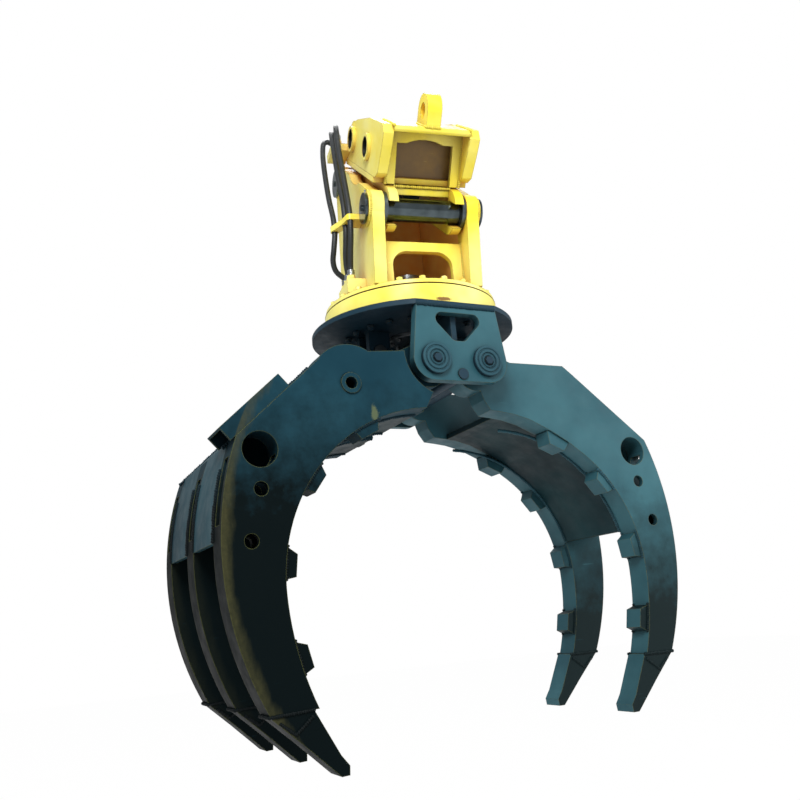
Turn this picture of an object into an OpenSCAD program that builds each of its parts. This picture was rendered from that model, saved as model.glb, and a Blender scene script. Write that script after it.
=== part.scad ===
// Rotating grapple for pipes and logs, with its quick hitch.
// Millimetres, +Z up. The origin is the centre of the hitch's stick bore.
// The photographed pose is the rest pose: jaws open, head turned a little on its slewing ring.

/* [Turntable] */
// Radius of the turntable disc
disc_r = 400; // [380:1:440]
// Thickness of the turntable disc
disc_t = 20; // [12:1:26]
// Front face of a hinge plate, from the middle of the disc
hinge_plate_y = 365; // [350:1:372]
// Thickness of a hinge plate
hinge_plate_t = 35; // [24:1:38]
// Half the distance between the two hinge pins
hinge_x = 104.6; // [102:0.2:112]
// Depth of the hinge pins below the disc
hinge_drop = 202; // [190:1:215]
// Radius of a hinge pin
hinge_pin_r = 40; // [30:1:46]
// Radius of the hinge plate's corners
hinge_lobe_r = 79; // [70:1:86]

/* [Slewing ring] */
// Outer radius of the yellow ring housing
housing_r = 343; // [338:1:372]
// Height of the ring housing
housing_h = 81; // [74:1:100]
// Thickness of the head's base plate
base_t = 18; // [12:1:26]
// Module of the slewing gear
gear_module = 8; // [7:0.1:8.2]
// Teeth of the internal ring gear
ring_teeth = 64; // [64:4:64]
// Teeth of the pinion
pinion_teeth = 16; // [16:1:16]
// Number of housing bolts
housing_bolts_n = 24; // [16:1:30]

/* [Head] */
// Turn of the head on the slewing ring at rest
slew_rest = -10; // [-30:1:30]
// Inner face of an ear, from the middle
ear_in = 163; // [160:1:172]
// Thickness of an ear plate
ear_t = 48; // [40:1:54]
// Height of the front pin above the disc
front_pin_z = 433; // [415:1:445]
// Distance of the front pin ahead of the slewing axis
front_pin_y = 255; // [245:1:270]
// Distance between the front and rear pins
pin_pitch = 560; // [545:1:580]
// Radius of the head's two pins
head_pin_r = 45; // [38:1:48]

/* [Quick hitch] */
// Upward tilt of the line from front pin to rear pin
hitch_tilt = 38; // [34:1:41]
// Radius of the stick and link bores
bore_r = 40; // [32:1:46]
// Stick bore, along the pin line and above it
stick_u = 458; // [445:1:475]
stick_v = 203; // [196:1:215]
// Link bore, along the pin line and above it
link_u = 184; // [180:1:200]
link_v = 205; // [198:1:215]
// Half the width of the hitch between the ears
hitch_half = 147; // [138:1:155]

/* [Jaws] */
// Thickness of a tine
tine_t = 96; // [80:1:102]
// Side plates of a tine
tine_wall = 22; // [14:1:28]
// Place of the left jaw's outer tines either side of the middle
left_tine_y = 376; // [370:1:390]
// Place of the right jaw's tines either side of the middle
right_tine_y = 229; // [222:1:236]
// Radius of the tine's outer edge
back_r = 1000; // [980:1:1030]
// Radius of the upper part of the tine's inner edge
palm_r = 550; // [535:1:560]
// Radius of the lower part of the tine's inner edge
claw_r = 930; // [900:1:960]
// Height of a gripping tooth
tooth_h = 42; // [25:1:50]
// Length of a gripping tooth
tooth_len = 104; // [80:1:120]
// Turn of the left jaw from its open stop at rest
left_rest = 3.4; // [0:0.2:6]
// Radius of the hole through each tine
big_hole_r = 56; // [40:1:62]

/* [Cylinders] */
// Outer radius of a cylinder barrel
barrel_r = 48; // [44:1:52]
// Radius of a piston rod
rod_r = 27; // [20:1:30]
// Radius of the pin at a rod's eye
eye_pin_r = 35; // [28:1:36]
// Play at a rod's eye
eye_play = 5; // [4.6:0.1:6]

/* [Hoses] */
// Radius of a hydraulic hose
hose_r = 11; // [8:0.5:12]

/* [Hidden] */

// Overrun of every cut, running play of pins and the gap kept between separate bodies
over = 5;
play = 0.05;
gap = 2;
fine = 96;

// Paints
yellow = "#F2D81E";
dark = "#1B333D";
blue = "#3C6074";
steel = "#8A8F92";
rubber = "#15181A";

// Frames. Shapes of the turntable are drawn from the middle of the disc's underside, those of the
// head in the same place but turned with it, and those of the hitch from the front pin.
mount_y = -front_pin_y + stick_u * cos(hitch_tilt) - stick_v * sin(hitch_tilt);
mount_z = front_pin_z + stick_u * sin(hitch_tilt) + stick_v * cos(hitch_tilt);
mount_at = [-mount_y * sin(slew_rest), mount_y * cos(slew_rest), mount_z];
rear_pin_y = -front_pin_y + pin_pitch * cos(hitch_tilt);
rear_pin_z = front_pin_z + pin_pitch * sin(hitch_tilt);

module in_turntable() translate(-mount_at) children();
module in_head() translate(-mount_at) rotate([0, 0, slew_rest]) children();
module in_hitch() in_head() translate([0, -front_pin_y, front_pin_z]) rotate([hitch_tilt, 0, 0]) children();
module in_right_jaw() in_turntable() translate([hinge_x, 0, -hinge_drop]) children();
module in_left_jaw() in_turntable() translate([-hinge_x, 0, -hinge_drop])
  mirror([1, 0, 0]) rotate([0, left_rest, 0]) children();

// A plate drawn in x and z and given a thickness along y, and the like for the other ways
module plate_y(y, t) translate([0, y + t, 0]) rotate([90, 0, 0]) linear_extrude(t) children();
module plate_x(x, t) translate([x, 0, 0]) rotate([90, 0, 90]) linear_extrude(t) children();
module rod_y(r, y, l) translate([0, y + l, 0]) rotate([90, 0, 0]) cylinder(r = r, h = l, $fn = fine);
module rod_x(r, x, l) translate([x, 0, 0]) rotate([0, 90, 0]) cylinder(r = r, h = l, $fn = fine);
module ring(ro, ri, h) difference() {
  cylinder(r = ro, h = h, $fn = fine);
  translate([0, 0, -over]) cylinder(r = ri, h = h + 2 * over, $fn = fine);
}
// A convex outline, drawn anticlockwise, grown by a round edge
function unit(v) = v / norm(v);
function outward(p, i) = let (d = unit(p[(i + 1) % len(p)] - p[i])) [d[1], -d[0]];
corner_steps = 8;
function corner(p, i, r) = let (a = outward(p, (i + len(p) - 1) % len(p)), b = outward(p, i),
  turn = atan2(a[0] * b[1] - a[1] * b[0], a * b))
  [for (k = [0 : corner_steps]) let (w = turn * k / corner_steps)
    p[i] + r * [a[0] * cos(w) - a[1] * sin(w), a[1] * cos(w) + a[0] * sin(w)]];
module rounded_2d(p, r) polygon([for (i = [0 : len(p) - 1]) each corner(p, i, r)]);
module bolt_head(r, h) cylinder(r = r, h = h, $fn = 6);

// Heights of the slewing ring, from the disc's underside
housing_z = disc_t + gap;
base_z = housing_z + housing_h;
deck_z = base_z + base_t;
housing_wall = 24;
bearing_out_r = housing_r - housing_wall - gap;
bearing_r = 294;
bearing_gap = 2;
ball_r = 11;
ball_play = 0.3;
balls_n = 48;
bearing_lift = 12;
bearing_z = disc_t + bearing_lift;
bearing_h = base_z - bearing_z;
ball_lift = 40;
ball_z = disc_t + ball_lift;
gear_h = 62;
pitch_r = gear_module * ring_teeth / 2;
pinion_pitch_r = gear_module * pinion_teeth / 2;
motor_y = pitch_r - pinion_pitch_r;
tooth_play = 1;
flank_slope = tan(20);

union_r = 40;
union_stator_r = 58;
union_hole_r = 70;
union_flange_r = 95;
union_flange_t = 14;
union_h = 150;
base_inset = 5;
base_r = housing_r - base_inset;
bolt_r = 13;
bolt_h = 14;
bolt_edge = 3;
base_bolt_r = base_r - bolt_r - bolt_edge;

module base_plate() color(yellow) in_head() translate([0, 0, base_z]) difference() {
  cylinder(r = base_r, h = base_t, $fn = fine);
  translate([0, 0, -over]) cylinder(r = union_stator_r + gap, h = base_t + 2 * over, $fn = fine);
  translate([0, motor_y, -over]) cylinder(r = motor_pilot_r + play, h = base_t + 2 * over, $fn = fine);
}

module ring_housing() color(yellow) in_head() translate([0, 0, housing_z])
  ring(housing_r, housing_r - housing_wall, housing_h);

module raceway(r, z) translate([0, 0, z]) rotate_extrude($fn = fine)
  translate([r, 0]) circle(r = ball_r + ball_play, $fn = 48);

module bearing_outer_ring() color(steel) in_head() difference() {
  translate([0, 0, bearing_z]) ring(bearing_out_r, bearing_r + bearing_gap, bearing_h);
  raceway(bearing_r, ball_z);
}

module housing_bolts() color(yellow) in_head()
  for (i = [0 : housing_bolts_n - 1]) let (a = (i + 0.5) * 360 / housing_bolts_n)
    if (clear_of_ears(base_bolt_r * abs(cos(a))) || base_bolt_r * abs(sin(a)) > ear_front_y + bolt_r + gap)
      rotate([0, 0, a]) translate([base_bolt_r, 0, deck_z]) bolt_head(bolt_r, bolt_h);

// Bolts stand only where no ear does
function clear_of_ears(x) = x < ear_in - bolt_r - gap || x > ear_in + ear_t + bolt_r + gap;

// A tooth as a trapezoid on the pitch circle, pointing along +x
module tooth_2d(r, m, play_here) {
  half = PI * m / 4 - play_here;
  polygon([[r - 1.2 * m, -half - 1.2 * m * flank_slope], [r + m, -half + m * flank_slope],
    [r + m, half - m * flank_slope], [r - 1.2 * m, half + 1.2 * m * flank_slope]]);
}

module gear_ring() color(steel) in_turntable() difference() {
  translate([0, 0, disc_t]) difference() {
    cylinder(r = bearing_r - bearing_gap, h = gear_h, $fn = fine);
    translate([0, 0, -over]) linear_extrude(gear_h + 2 * over) {
      circle(r = pitch_r - gear_module, $fn = fine);
      rotate(90 + slew_rest) for (i = [0 : ring_teeth - 1]) rotate(i * 360 / ring_teeth)
        mirrored_space_2d();
    }
  }
  raceway(bearing_r, ball_z);
}

// A space of the ring gear: the pinion's tooth with play, and room at its tip
module mirrored_space_2d() {
  half = PI * gear_module / 4 + tooth_play;
  reach = 1.25 * gear_module;
  polygon([[pitch_r - 2 * gear_module, -half - 2 * gear_module * flank_slope],
    [pitch_r + reach, -half + reach * flank_slope], [pitch_r + reach, half - reach * flank_slope],
    [pitch_r - 2 * gear_module, half + 2 * gear_module * flank_slope]]);
}

motor_pilot_r = 46;
motor_flange_r = 66;
motor_flange_t = 20;
motor_body_r = 56;
motor_body_h = 165;
motor_cap_h = 30;
pinion_shaft_r = 24;
pinion_lift = 8;
pinion_z = disc_t + pinion_lift;
pinion_h = 48;

module pinion() color(steel) in_head() translate([0, motor_y, 0]) {
  translate([0, 0, pinion_z]) linear_extrude(pinion_h) rotate(90) {
    circle(r = pinion_pitch_r - 1.1 * gear_module, $fn = 48);
    for (i = [0 : pinion_teeth - 1]) rotate(i * 360 / pinion_teeth)
      tooth_2d(pinion_pitch_r, gear_module, tooth_play);
  }
  translate([0, 0, pinion_z]) cylinder(r = pinion_shaft_r, h = deck_z - pinion_z, $fn = 48);
}

// The motor stands on the base plate, with its pilot in the plate's hole round the pinion's shaft
module slew_motor() color(dark) in_head() translate([0, motor_y, 0]) difference() {
  union() {
    translate([0, 0, base_z + gap]) cylinder(r = motor_pilot_r, h = base_t, $fn = fine);
    translate([0, 0, deck_z]) cylinder(r = motor_flange_r, h = motor_flange_t, $fn = fine);
    translate([0, 0, deck_z]) cylinder(r = motor_body_r, h = motor_body_h, $fn = fine);
    translate([0, 0, deck_z]) cylinder(r = motor_body_r / 2, h = motor_body_h + motor_cap_h, $fn = fine);
  }
  translate([0, 0, base_z]) cylinder(r = pinion_shaft_r + play, h = base_t + gap, $fn = 48);
}

module union_stator() color(steel) in_head() difference() {
  union() {
    translate([0, 0, base_z + gap]) cylinder(r = union_stator_r, h = union_h, $fn = fine);
    translate([0, 0, deck_z]) cylinder(r = union_flange_r, h = union_flange_t, $fn = fine);
  }
  translate([0, 0, base_z]) cylinder(r = union_r + play, h = union_h - union_flange_t, $fn = fine);
}

module union_rotor() color(steel) in_turntable() {
  translate([0, 0, -union_flange_t]) cylinder(r = union_flange_r, h = union_flange_t, $fn = fine);
  cylinder(r = union_r, h = base_z + union_h - union_flange_t - gap, $fn = fine);
}

// The head's ears: a plate with a lobe round each pin and a boss on its outer face
front_lobe_r = 70;
rear_lobe_r = 80;
ear_boss_r = 62;
ear_boss_t = 10;
ear_front_y = 276;
ear_rear_y = 286;
ear_dip_r = 230;
ear_dip = 34;
lobe_share = 0.9;

front_in = lobe_share * front_lobe_r;
rear_in = lobe_share * rear_lobe_r;
module ear_2d() difference() {
  union() {
    translate([-front_pin_y, front_pin_z]) circle(r = front_lobe_r, $fn = fine);
    translate([rear_pin_y, rear_pin_z]) circle(r = rear_lobe_r, $fn = fine);
    polygon([[-ear_front_y, deck_z], [ear_rear_y, deck_z], [rear_pin_y + rear_in, rear_pin_z],
      [rear_pin_y - rear_in * sin(hitch_tilt), rear_pin_z + rear_in * cos(hitch_tilt)],
      [-front_pin_y - front_in * sin(hitch_tilt), front_pin_z + front_in * cos(hitch_tilt)],
      [-front_pin_y - front_in, front_pin_z]]);
  }
  translate([-front_pin_y, front_pin_z]) rotate(hitch_tilt)
    translate([pin_pitch / 2, rear_lobe_r + ear_dip_r - ear_dip]) circle(r = ear_dip_r, $fn = fine);
}

module ear() difference() {
  union() {
    plate_x(ear_in, ear_t) ear_2d();
    translate([0, -front_pin_y, front_pin_z]) rod_x(ear_boss_r, ear_in + ear_t, ear_boss_t);
    translate([0, rear_pin_y, rear_pin_z]) rod_x(ear_boss_r, ear_in + ear_t, ear_boss_t);
  }
  translate([0, -front_pin_y, front_pin_z])
    rod_x(head_pin_r + play, ear_in - over, ear_t + ear_boss_t + 2 * over);
  translate([0, rear_pin_y, rear_pin_z])
    rod_x(head_pin_r + play, ear_in - over, ear_t + ear_boss_t + 2 * over);
}

module head_ear_right() color(yellow) in_head() ear();
module head_ear_left() color(yellow) in_head() mirror([1, 0, 0]) ear();

// The front cross plate stands between the ears on the base plate, with a window over the bolts
front_plate_y = -218;
front_plate_t = 25;
front_plate_top = 320;
window_half = 119;
window_top = 281;
window_corner_r = 60;

module head_front_plate() color(yellow) in_head() plate_y(front_plate_y, front_plate_t) difference() {
  translate([-ear_in, deck_z]) square([2 * ear_in, front_plate_top - deck_z]);
  translate([-window_half, deck_z - over])
    square([2 * window_half, window_top - window_corner_r - deck_z + over]);
  translate([-window_half + window_corner_r, deck_z])
    square([2 * (window_half - window_corner_r), window_top - deck_z]);
  for (s = [-1, 1]) translate([s * (window_half - window_corner_r), window_top - window_corner_r])
    circle(r = window_corner_r, $fn = fine);
}

rear_plate_t = 22;
rear_plate_set = 27;
rear_plate_drop = 88;
rear_plate_y = ear_rear_y - rear_plate_set;
rear_plate_top = rear_pin_z - rear_plate_drop;
module head_rear_plate() color(yellow) in_head() {
  translate([-ear_in, rear_plate_y, deck_z]) cube([2 * ear_in, rear_plate_t, rear_plate_top - deck_z]);
}

// Pins with a flange at one end and a keeper bolt through a plate at the other
pin_over = 8;
pin_cap_r = 58;
pin_cap_t = 9;
pin_half = ear_in + ear_t + ear_boss_t + gap;
keeper_r = 12;

module head_pin() {
  rod_x(head_pin_r, -pin_half, 2 * pin_half);
  for (s = [0, 1]) mirror([s, 0, 0]) {
    rod_x(pin_cap_r, pin_half, pin_cap_t);
    translate([pin_half + pin_cap_t, 0, 0]) rotate([0, 90, 0]) bolt_head(keeper_r, pin_over);
  }
}
module front_pin() color(steel) in_hitch() head_pin();
module rear_pin() color(steel) in_hitch() translate([0, pin_pitch, 0]) head_pin();

// Wear rings on both pins, between the ears and the hitch's cheeks
collar_r = 66;
module pin_collars() color(steel) in_hitch() for (y = [0, pin_pitch], s = [0, 1])
  translate([0, y, 0]) mirror([s, 0, 0]) difference() {
    rod_x(collar_r, hitch_half + gap / 4, ear_in - hitch_half - gap / 2);
    rod_x(head_pin_r + play, hitch_half - over, ear_in - hitch_half + 2 * over);
  }

// Quick hitch. Two lower cheeks hook over the head's pins between the ears, a deck joins them, and
// two upper cheeks outside carry the stick and link bores.
cheek_t = 36;
hook_r = 84;
deck_v = 90;
deck_t = 22;

deck_front_u = 55;
deck_rear_u = 560;
upper_in = hitch_half;
upper_t = 40;
deck_half = upper_in + upper_t;
stick_lobe_r = 74;
hitch_tail = 655;
tail_v = 66;
lip_v = -72;
hook_slope_from = 160;
hook_slope_to = 110;
box_top_v = 314;
box_nose_u = -46;
box_reach = 172;
box_t = 24;
box_foot_u = 17;
box_foot_v = 55;
box_head_u = 42;
rear_slot_half = head_pin_r + gap;

module cheek_2d() difference() {
  union() {
    circle(r = hook_r, $fn = fine);
    polygon([[0, -hook_r], [pin_pitch - hook_slope_from, -hook_r], [pin_pitch - hook_slope_to, lip_v], [hitch_tail, lip_v],
      [hitch_tail, tail_v], [deck_rear_u, deck_v], [deck_front_u, deck_v], [0, hook_r]]);
  }
  circle(r = head_pin_r + play, $fn = fine);
  translate([-hook_r - over, -head_pin_r - play]) square([hook_r + over, 2 * (head_pin_r + play)]);
  translate([pin_pitch, 0]) circle(r = rear_slot_half, $fn = fine);
  translate([pin_pitch - rear_slot_half, lip_v - over]) square([2 * rear_slot_half, -lip_v + over]);
}

// An upper cheek, from its foot on the deck up its hollow front edge, along its top and down the back
upper_foot_u = 34;
upper_heel_u = 540;
upper_waist_u = -28;
upper_waist_v = 208;
upper_round = 30;
top_len = 190;
brow_u = 394;
brow_v = 289;
module upper_2d() difference() {
  union() {
    translate([stick_u, stick_v]) circle(r = stick_lobe_r, $fn = fine);
    polygon([[upper_foot_u, deck_v + deck_t], [upper_heel_u, deck_v + deck_t], [stick_u + stick_lobe_r, stick_v],
      [stick_u + stick_lobe_r * cos(60), stick_v + stick_lobe_r * sin(60)], [brow_u, brow_v],
      [top_len, box_top_v], [box_nose_u + upper_round, box_top_v], [box_nose_u, box_top_v - upper_round],
      [(box_nose_u + upper_waist_u) / 2, upper_waist_v + upper_round], [upper_waist_u, upper_waist_v],
      [(upper_waist_u + upper_foot_u) / 2 - upper_round / 4, deck_v + 2 * deck_t]]);
  }
  translate([stick_u, stick_v]) circle(r = bore_r + bush_t, $fn = fine);
  translate([link_u, link_v]) circle(r = bore_r + bush_t, $fn = fine);
}

bush_t = 12;
bush_over = 14;
module hitch_cheek() {
  plate_x(hitch_half - cheek_t, cheek_t) cheek_2d();
  plate_x(upper_in, upper_t) upper_2d();
}
module hitch_cheek_right() color(yellow) in_hitch() hitch_cheek();
module hitch_cheek_left() color(yellow) in_hitch() mirror([1, 0, 0]) hitch_cheek();

module hitch_deck() color(yellow) in_hitch()
  translate([-deck_half, deck_front_u, deck_v]) cube([2 * deck_half, deck_rear_u - deck_front_u, deck_t]);

module hitch_bushes() color(steel) in_hitch() for (p = [[stick_u, stick_v], [link_u, link_v]], s = [0, 1])
  translate([0, p[0], p[1]]) mirror([s, 0, 0]) difference() {
    rod_x(bore_r + bush_t, upper_in, upper_t + bush_over);
    rod_x(bore_r, upper_in - over, upper_t + bush_over + 2 * over);
  }

// The front box: a leaning front plate with a wide opening, two sides, a back and a top plate that
// reaches forward of them. Its foot is narrow enough to stand between the lower cheeks.
box_open_half = 110;
box_open_low = 24;
box_open_high = 46;
box_sink = 3;
box_lean = atan2(box_top_v - box_t - box_foot_v, box_head_u - box_foot_u);
box_len = norm([box_top_v - box_t - box_foot_v, box_head_u - box_foot_u]);
box_back_at = 58;
box_back_t = 16;
crown_r = 170;
crown_rise = 16;

module box_open_2d() union() {
  translate([-box_open_half, box_open_low])
    square([2 * box_open_half, box_len - box_open_low - box_open_high]);
  intersection() {
    translate([0, box_len - box_open_high + crown_rise - crown_r]) circle(r = crown_r, $fn = fine);
    translate([-box_open_half + box_t, box_open_low]) square([2 * (box_open_half - box_t), box_len]);
  }
}

// A point behind the front plate's outer face, at a distance up it
function behind(d, s) = [box_foot_u, box_foot_v] + s * [cos(box_lean), sin(box_lean)] + d * [sin(box_lean), -cos(box_lean)];
function level_s(d, v) = (v - box_foot_v + d * cos(box_lean)) / sin(box_lean);

// A wall of the box between two distances behind the front plate's face, from the deck into the top plate
module box_wall_2d(from, to) polygon([behind(from, level_s(from, deck_v + deck_t)),
  behind(to, level_s(to, deck_v + deck_t)), behind(to, level_s(to, box_top_v - box_t / 2)),
  behind(from, level_s(from, box_top_v - box_t / 2))]);

module hitch_front_box() color(yellow) in_hitch() {
  back = box_back_at + box_back_t;
  difference() {
    plate_x(-hitch_half, 2 * hitch_half) polygon([behind(0, 0), behind(box_t, 0),
      behind(box_t, box_len + box_t / 2), behind(0, box_len + box_t / 2)]);
    for (x = [-hitch_half - over, hitch_half - cheek_t]) plate_x(x, cheek_t + over)
      translate([0, box_foot_v - box_t]) square([deck_front_u, deck_v + box_sink + box_t - box_foot_v]);
    translate([0, box_foot_u, box_foot_v]) rotate([box_lean - 90, 0, 0])
      plate_y(-over, box_t + 2 * over) box_open_2d();
  }
  for (s = [-hitch_half, hitch_half - box_t]) plate_x(s, box_t) box_wall_2d(box_t / 2, back);
  plate_x(box_t / 2 - hitch_half, 2 * hitch_half - box_t) box_wall_2d(box_back_at, back);
  plate_x(-hitch_half, 2 * hitch_half)
    polygon(concat([[box_nose_u + box_reach, box_top_v - box_t], [box_nose_u + box_reach, box_top_v]],
      [for (k = [0 : corner_steps]) [box_nose_u + box_t / 2, box_top_v - box_t / 2]
        + box_t / 2 * [-sin(k * 180 / corner_steps), cos(k * 180 / corner_steps)]]));
}

eye_t = 56;
eye_r = 62;
eye_hole_r = 28;
eye_u = 20;
eye_v = 366;
module hitch_lifting_eye() color(yellow) in_hitch() plate_x(-eye_t / 2, eye_t) difference() {
  union() {
    translate([eye_u, eye_v]) circle(r = eye_r, $fn = fine);
    translate([eye_u - eye_r, box_top_v]) square([2 * eye_r, eye_v - box_top_v]);
  }
  translate([eye_u, eye_v]) circle(r = eye_hole_r, $fn = fine);
  translate([eye_u - 2 * eye_r, box_top_v - 2 * eye_r]) square([4 * eye_r, 2 * eye_r]);
}

// The lock: a cylinder under the deck pushes a wedge under the rear pin
lock_half = 62;
lock_top = 30;
lock_foot = -78;
lock_r = 34;
lock_rod_r = 18;
lock_u = 150;
lock_len = 170;
lock_v = 34;
lock_travel = 110;
wedge_back = 150;
wedge_front = 66;
wedge_rise = 24;
wedge_lip = 20;
lock_weld = 2;

module hitch_lock_barrel() color(dark) in_hitch() {
  difference() {
    translate([0, lock_u, lock_v]) rotate([-90, 0, 0]) cylinder(r = lock_r, h = lock_len, $fn = fine);
    translate([0, lock_u + over, lock_v]) rotate([-90, 0, 0])
      cylinder(r = lock_rod_r + play, h = lock_len, $fn = fine);
  }
  translate([-lock_r / 2, lock_u, lock_v + lock_r - lock_weld])
    cube([lock_r, lock_len / 2, deck_v - lock_v - lock_r + lock_weld]);
}

module hitch_lock_jaw() color(steel) in_hitch() {
  plate_x(-lock_half, 2 * lock_half) difference() {
    polygon([[pin_pitch - wedge_back, lock_top + wedge_rise], [pin_pitch - wedge_front, lock_top + wedge_rise],
      [pin_pitch - head_pin_r - gap, -wedge_lip], [pin_pitch - head_pin_r - gap, lock_foot + wedge_rise + gap],
      [pin_pitch + wedge_lip, lock_foot + wedge_lip], [pin_pitch + wedge_lip, lock_foot], [pin_pitch - wedge_back, lock_foot]]);
    translate([pin_pitch, 0]) circle(r = head_pin_r + gap / 2, $fn = fine);
    translate([pin_pitch, -head_pin_r - gap / 2]) square([2 * head_pin_r, 2 * head_pin_r]);
  }
  translate([0, lock_u + lock_travel + gap, lock_v]) rotate([-90, 0, 0])
    cylinder(r = lock_rod_r, h = pin_pitch - wedge_back - lock_u - lock_travel, $fn = fine);
}

// Turntable
module disc_2d() intersection() {
  circle(r = disc_r, $fn = 2 * fine);
  square([2 * disc_r + over, 2 * hinge_plate_y], center = true);
}
module turntable_disc() color(dark) in_turntable() difference() {
  linear_extrude(disc_t) disc_2d();
  translate([0, 0, -over]) cylinder(r = union_r + gap, h = disc_t + 2 * over, $fn = fine);
}

module bearing_balls() color(steel) in_turntable()
  for (i = [0 : balls_n - 1]) rotate([0, 0, i * 360 / balls_n])
    translate([bearing_r, 0, ball_z]) sphere(r = ball_r, $fn = 24);

plate_top_half = sqrt(disc_r * disc_r - hinge_plate_y * hinge_plate_y);
tri_half = 90;
tri_top = 24;
tri_foot = 130;
tri_r = 26;
tri_foot_half = 12;
tie_r = 20;
tie_drop = 254;
lobe_out = 7;
module hinge_plate_2d() difference() {
  polygon(concat([[plate_top_half, 0], [-plate_top_half, 0]],
    [for (k = [0 : 3 * corner_steps]) lobe_point(-1, 180 + k * 30 / corner_steps)],
    [for (k = [0 : 3 * corner_steps]) lobe_point(1, 270 + k * 30 / corner_steps)]));
  for (s = [-1, 1]) translate([s * hinge_x, -hinge_drop]) circle(r = hinge_pin_r + play, $fn = fine);
  rounded_2d([[tri_r - tri_half, -tri_top - tri_r], [-tri_foot_half, tri_r - tri_foot],
    [tri_foot_half, tri_r - tri_foot], [tri_half - tri_r, -tri_top - tri_r]], tri_r);
  translate([0, -tie_drop]) circle(r = tie_r, $fn = fine);
}
function lobe_point(s, a) = [s * (hinge_x + lobe_out) + hinge_lobe_r * cos(a), hinge_lobe_r * sin(a) - hinge_drop];
module hinge_plate_front() color(blue) in_turntable()
  plate_y(-hinge_plate_y, hinge_plate_t) hinge_plate_2d();
module hinge_plate_rear() color(blue) in_turntable()
  plate_y(hinge_plate_y - hinge_plate_t, hinge_plate_t) hinge_plate_2d();

// The web between the hinge plates, with the tie rod through their feet
web_t = 22;
web_h = 150;
tie_over = 6;
module hinge_web() color(dark) in_turntable() {
  translate([-web_t / 2, -hinge_plate_y + hinge_plate_t, -web_h]) difference() {
    cube([web_t, 2 * (hinge_plate_y - hinge_plate_t), web_h]);
    translate([-over, hinge_plate_y - hinge_plate_t - union_flange_r - gap, web_h - union_flange_t - gap])
      cube([web_t + 2 * over, 2 * (union_flange_r + gap), union_flange_t + gap + over]);
  }
  translate([0, 0, -tie_drop]) rod_y(tie_r, -hinge_plate_y - tie_over, 2 * (hinge_plate_y + tie_over));
}

hinge_cap_r = 57;
hinge_cap_t = 12;
hinge_bolt_r = 16;
hinge_bolt_h = 10;
module hinge_pin(side) color(steel) in_turntable() translate([side * hinge_x, 0, -hinge_drop]) {
  rod_y(hinge_pin_r, -hinge_plate_y, 2 * hinge_plate_y);
  for (s = [0, 1]) mirror([0, s, 0]) {
    rod_y(hinge_cap_r, hinge_plate_y, hinge_cap_t);
    translate([0, hinge_plate_y + hinge_cap_t + hinge_bolt_h, 0]) rotate([90, 0, 0])
      bolt_head(hinge_bolt_r, hinge_bolt_h);
  }
}
module hinge_pin_left() hinge_pin(-1);
module hinge_pin_right() hinge_pin(1);

// Cylinders. A push cylinder in each half stands between a lug under the disc and a pin in the jaw.
lug_out = 70;
lug_up = 120;
lug_in = 32;
lug_t = 28;
lug_r = 44;
base_pin_r = 25;
base_pin_over = 8;
rod_pin = [362, -102];
eye_half = 30;
barrel_eye_r = 42;
barrel_wall = 9;
barrel_bore_r = barrel_r - barrel_wall;
barrel_start = lug_r + 2 * gap;
barrel_end_t = 24;
barrel_len = 214;
gland_over = 5;
gland_r = barrel_r + gland_over;
gland_t = 24;
piston_t = 28;
piston_at = 88;
rod_eye_wall = 17;
rod_eye_r = eye_pin_r + eye_play + rod_eye_wall;

// The rod pin's place beside the hinge pin once the jaw has turned by a
function swung(a) = [rod_pin[0] * cos(a) + rod_pin[1] * sin(a), rod_pin[1] * cos(a) - rod_pin[0] * sin(a)];
function reach_of(a) = swung(a) - [lug_out, lug_up];
function angle_of(a) = atan2(reach_of(a)[1], reach_of(a)[0]);

module cylinder_lugs() color(dark) in_turntable() for (s = [0, 1], t = [0, 1])
  mirror([s, 0, 0]) mirror([0, t, 0]) plate_y(lug_in, lug_t) difference() {
    union() {
      translate([hinge_x + lug_out, lug_up - hinge_drop]) circle(r = lug_r, $fn = fine);
      translate([hinge_x + lug_out - lug_r, lug_up - hinge_drop])
        square([2 * lug_r, hinge_drop - lug_up]);
    }
    translate([hinge_x + lug_out, lug_up - hinge_drop]) circle(r = base_pin_r + play, $fn = fine);
  }

module cylinder_base_pins() color(steel) in_turntable() for (s = [-1, 1])
  translate([s * (hinge_x + lug_out), 0, lug_up - hinge_drop])
    rod_y(base_pin_r, -lug_in - lug_t - base_pin_over, 2 * (lug_in + lug_t + base_pin_over));

module in_cylinder(a) translate([lug_out, 0, lug_up]) rotate([0, -angle_of(a), 0]) children();

module barrel(a) color(dark) in_cylinder(a) difference() {
  union() {
    rod_y(barrel_eye_r, -eye_half, 2 * eye_half);
    translate([0, -eye_half, -eye_half]) cube([barrel_start + over, 2 * eye_half, 2 * eye_half]);
    rod_x(barrel_r, barrel_start, barrel_len);
    rod_x(gland_r, barrel_start + barrel_len - gland_t, gland_t);
  }
  rod_y(base_pin_r + play, -eye_half - over, 2 * (eye_half + over));
  rod_x(barrel_bore_r, barrel_start + barrel_end_t, barrel_len - barrel_end_t - gland_t);
  rod_x(rod_r + play, barrel_start + barrel_end_t, barrel_len);
}

module rod(a) color(steel) in_cylinder(a) difference() {
  union() {
    rod_x(rod_r, piston_at, norm(reach_of(a)) - piston_at);
    rod_x(barrel_bore_r - play, piston_at, piston_t);
    translate([norm(reach_of(a)), 0, 0]) rod_y(rod_eye_r, -eye_half, 2 * eye_half);
  }
  translate([norm(reach_of(a)), 0, 0]) rod_y(eye_pin_r + eye_play, -eye_half - over, 2 * (eye_half + over));
}

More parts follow.
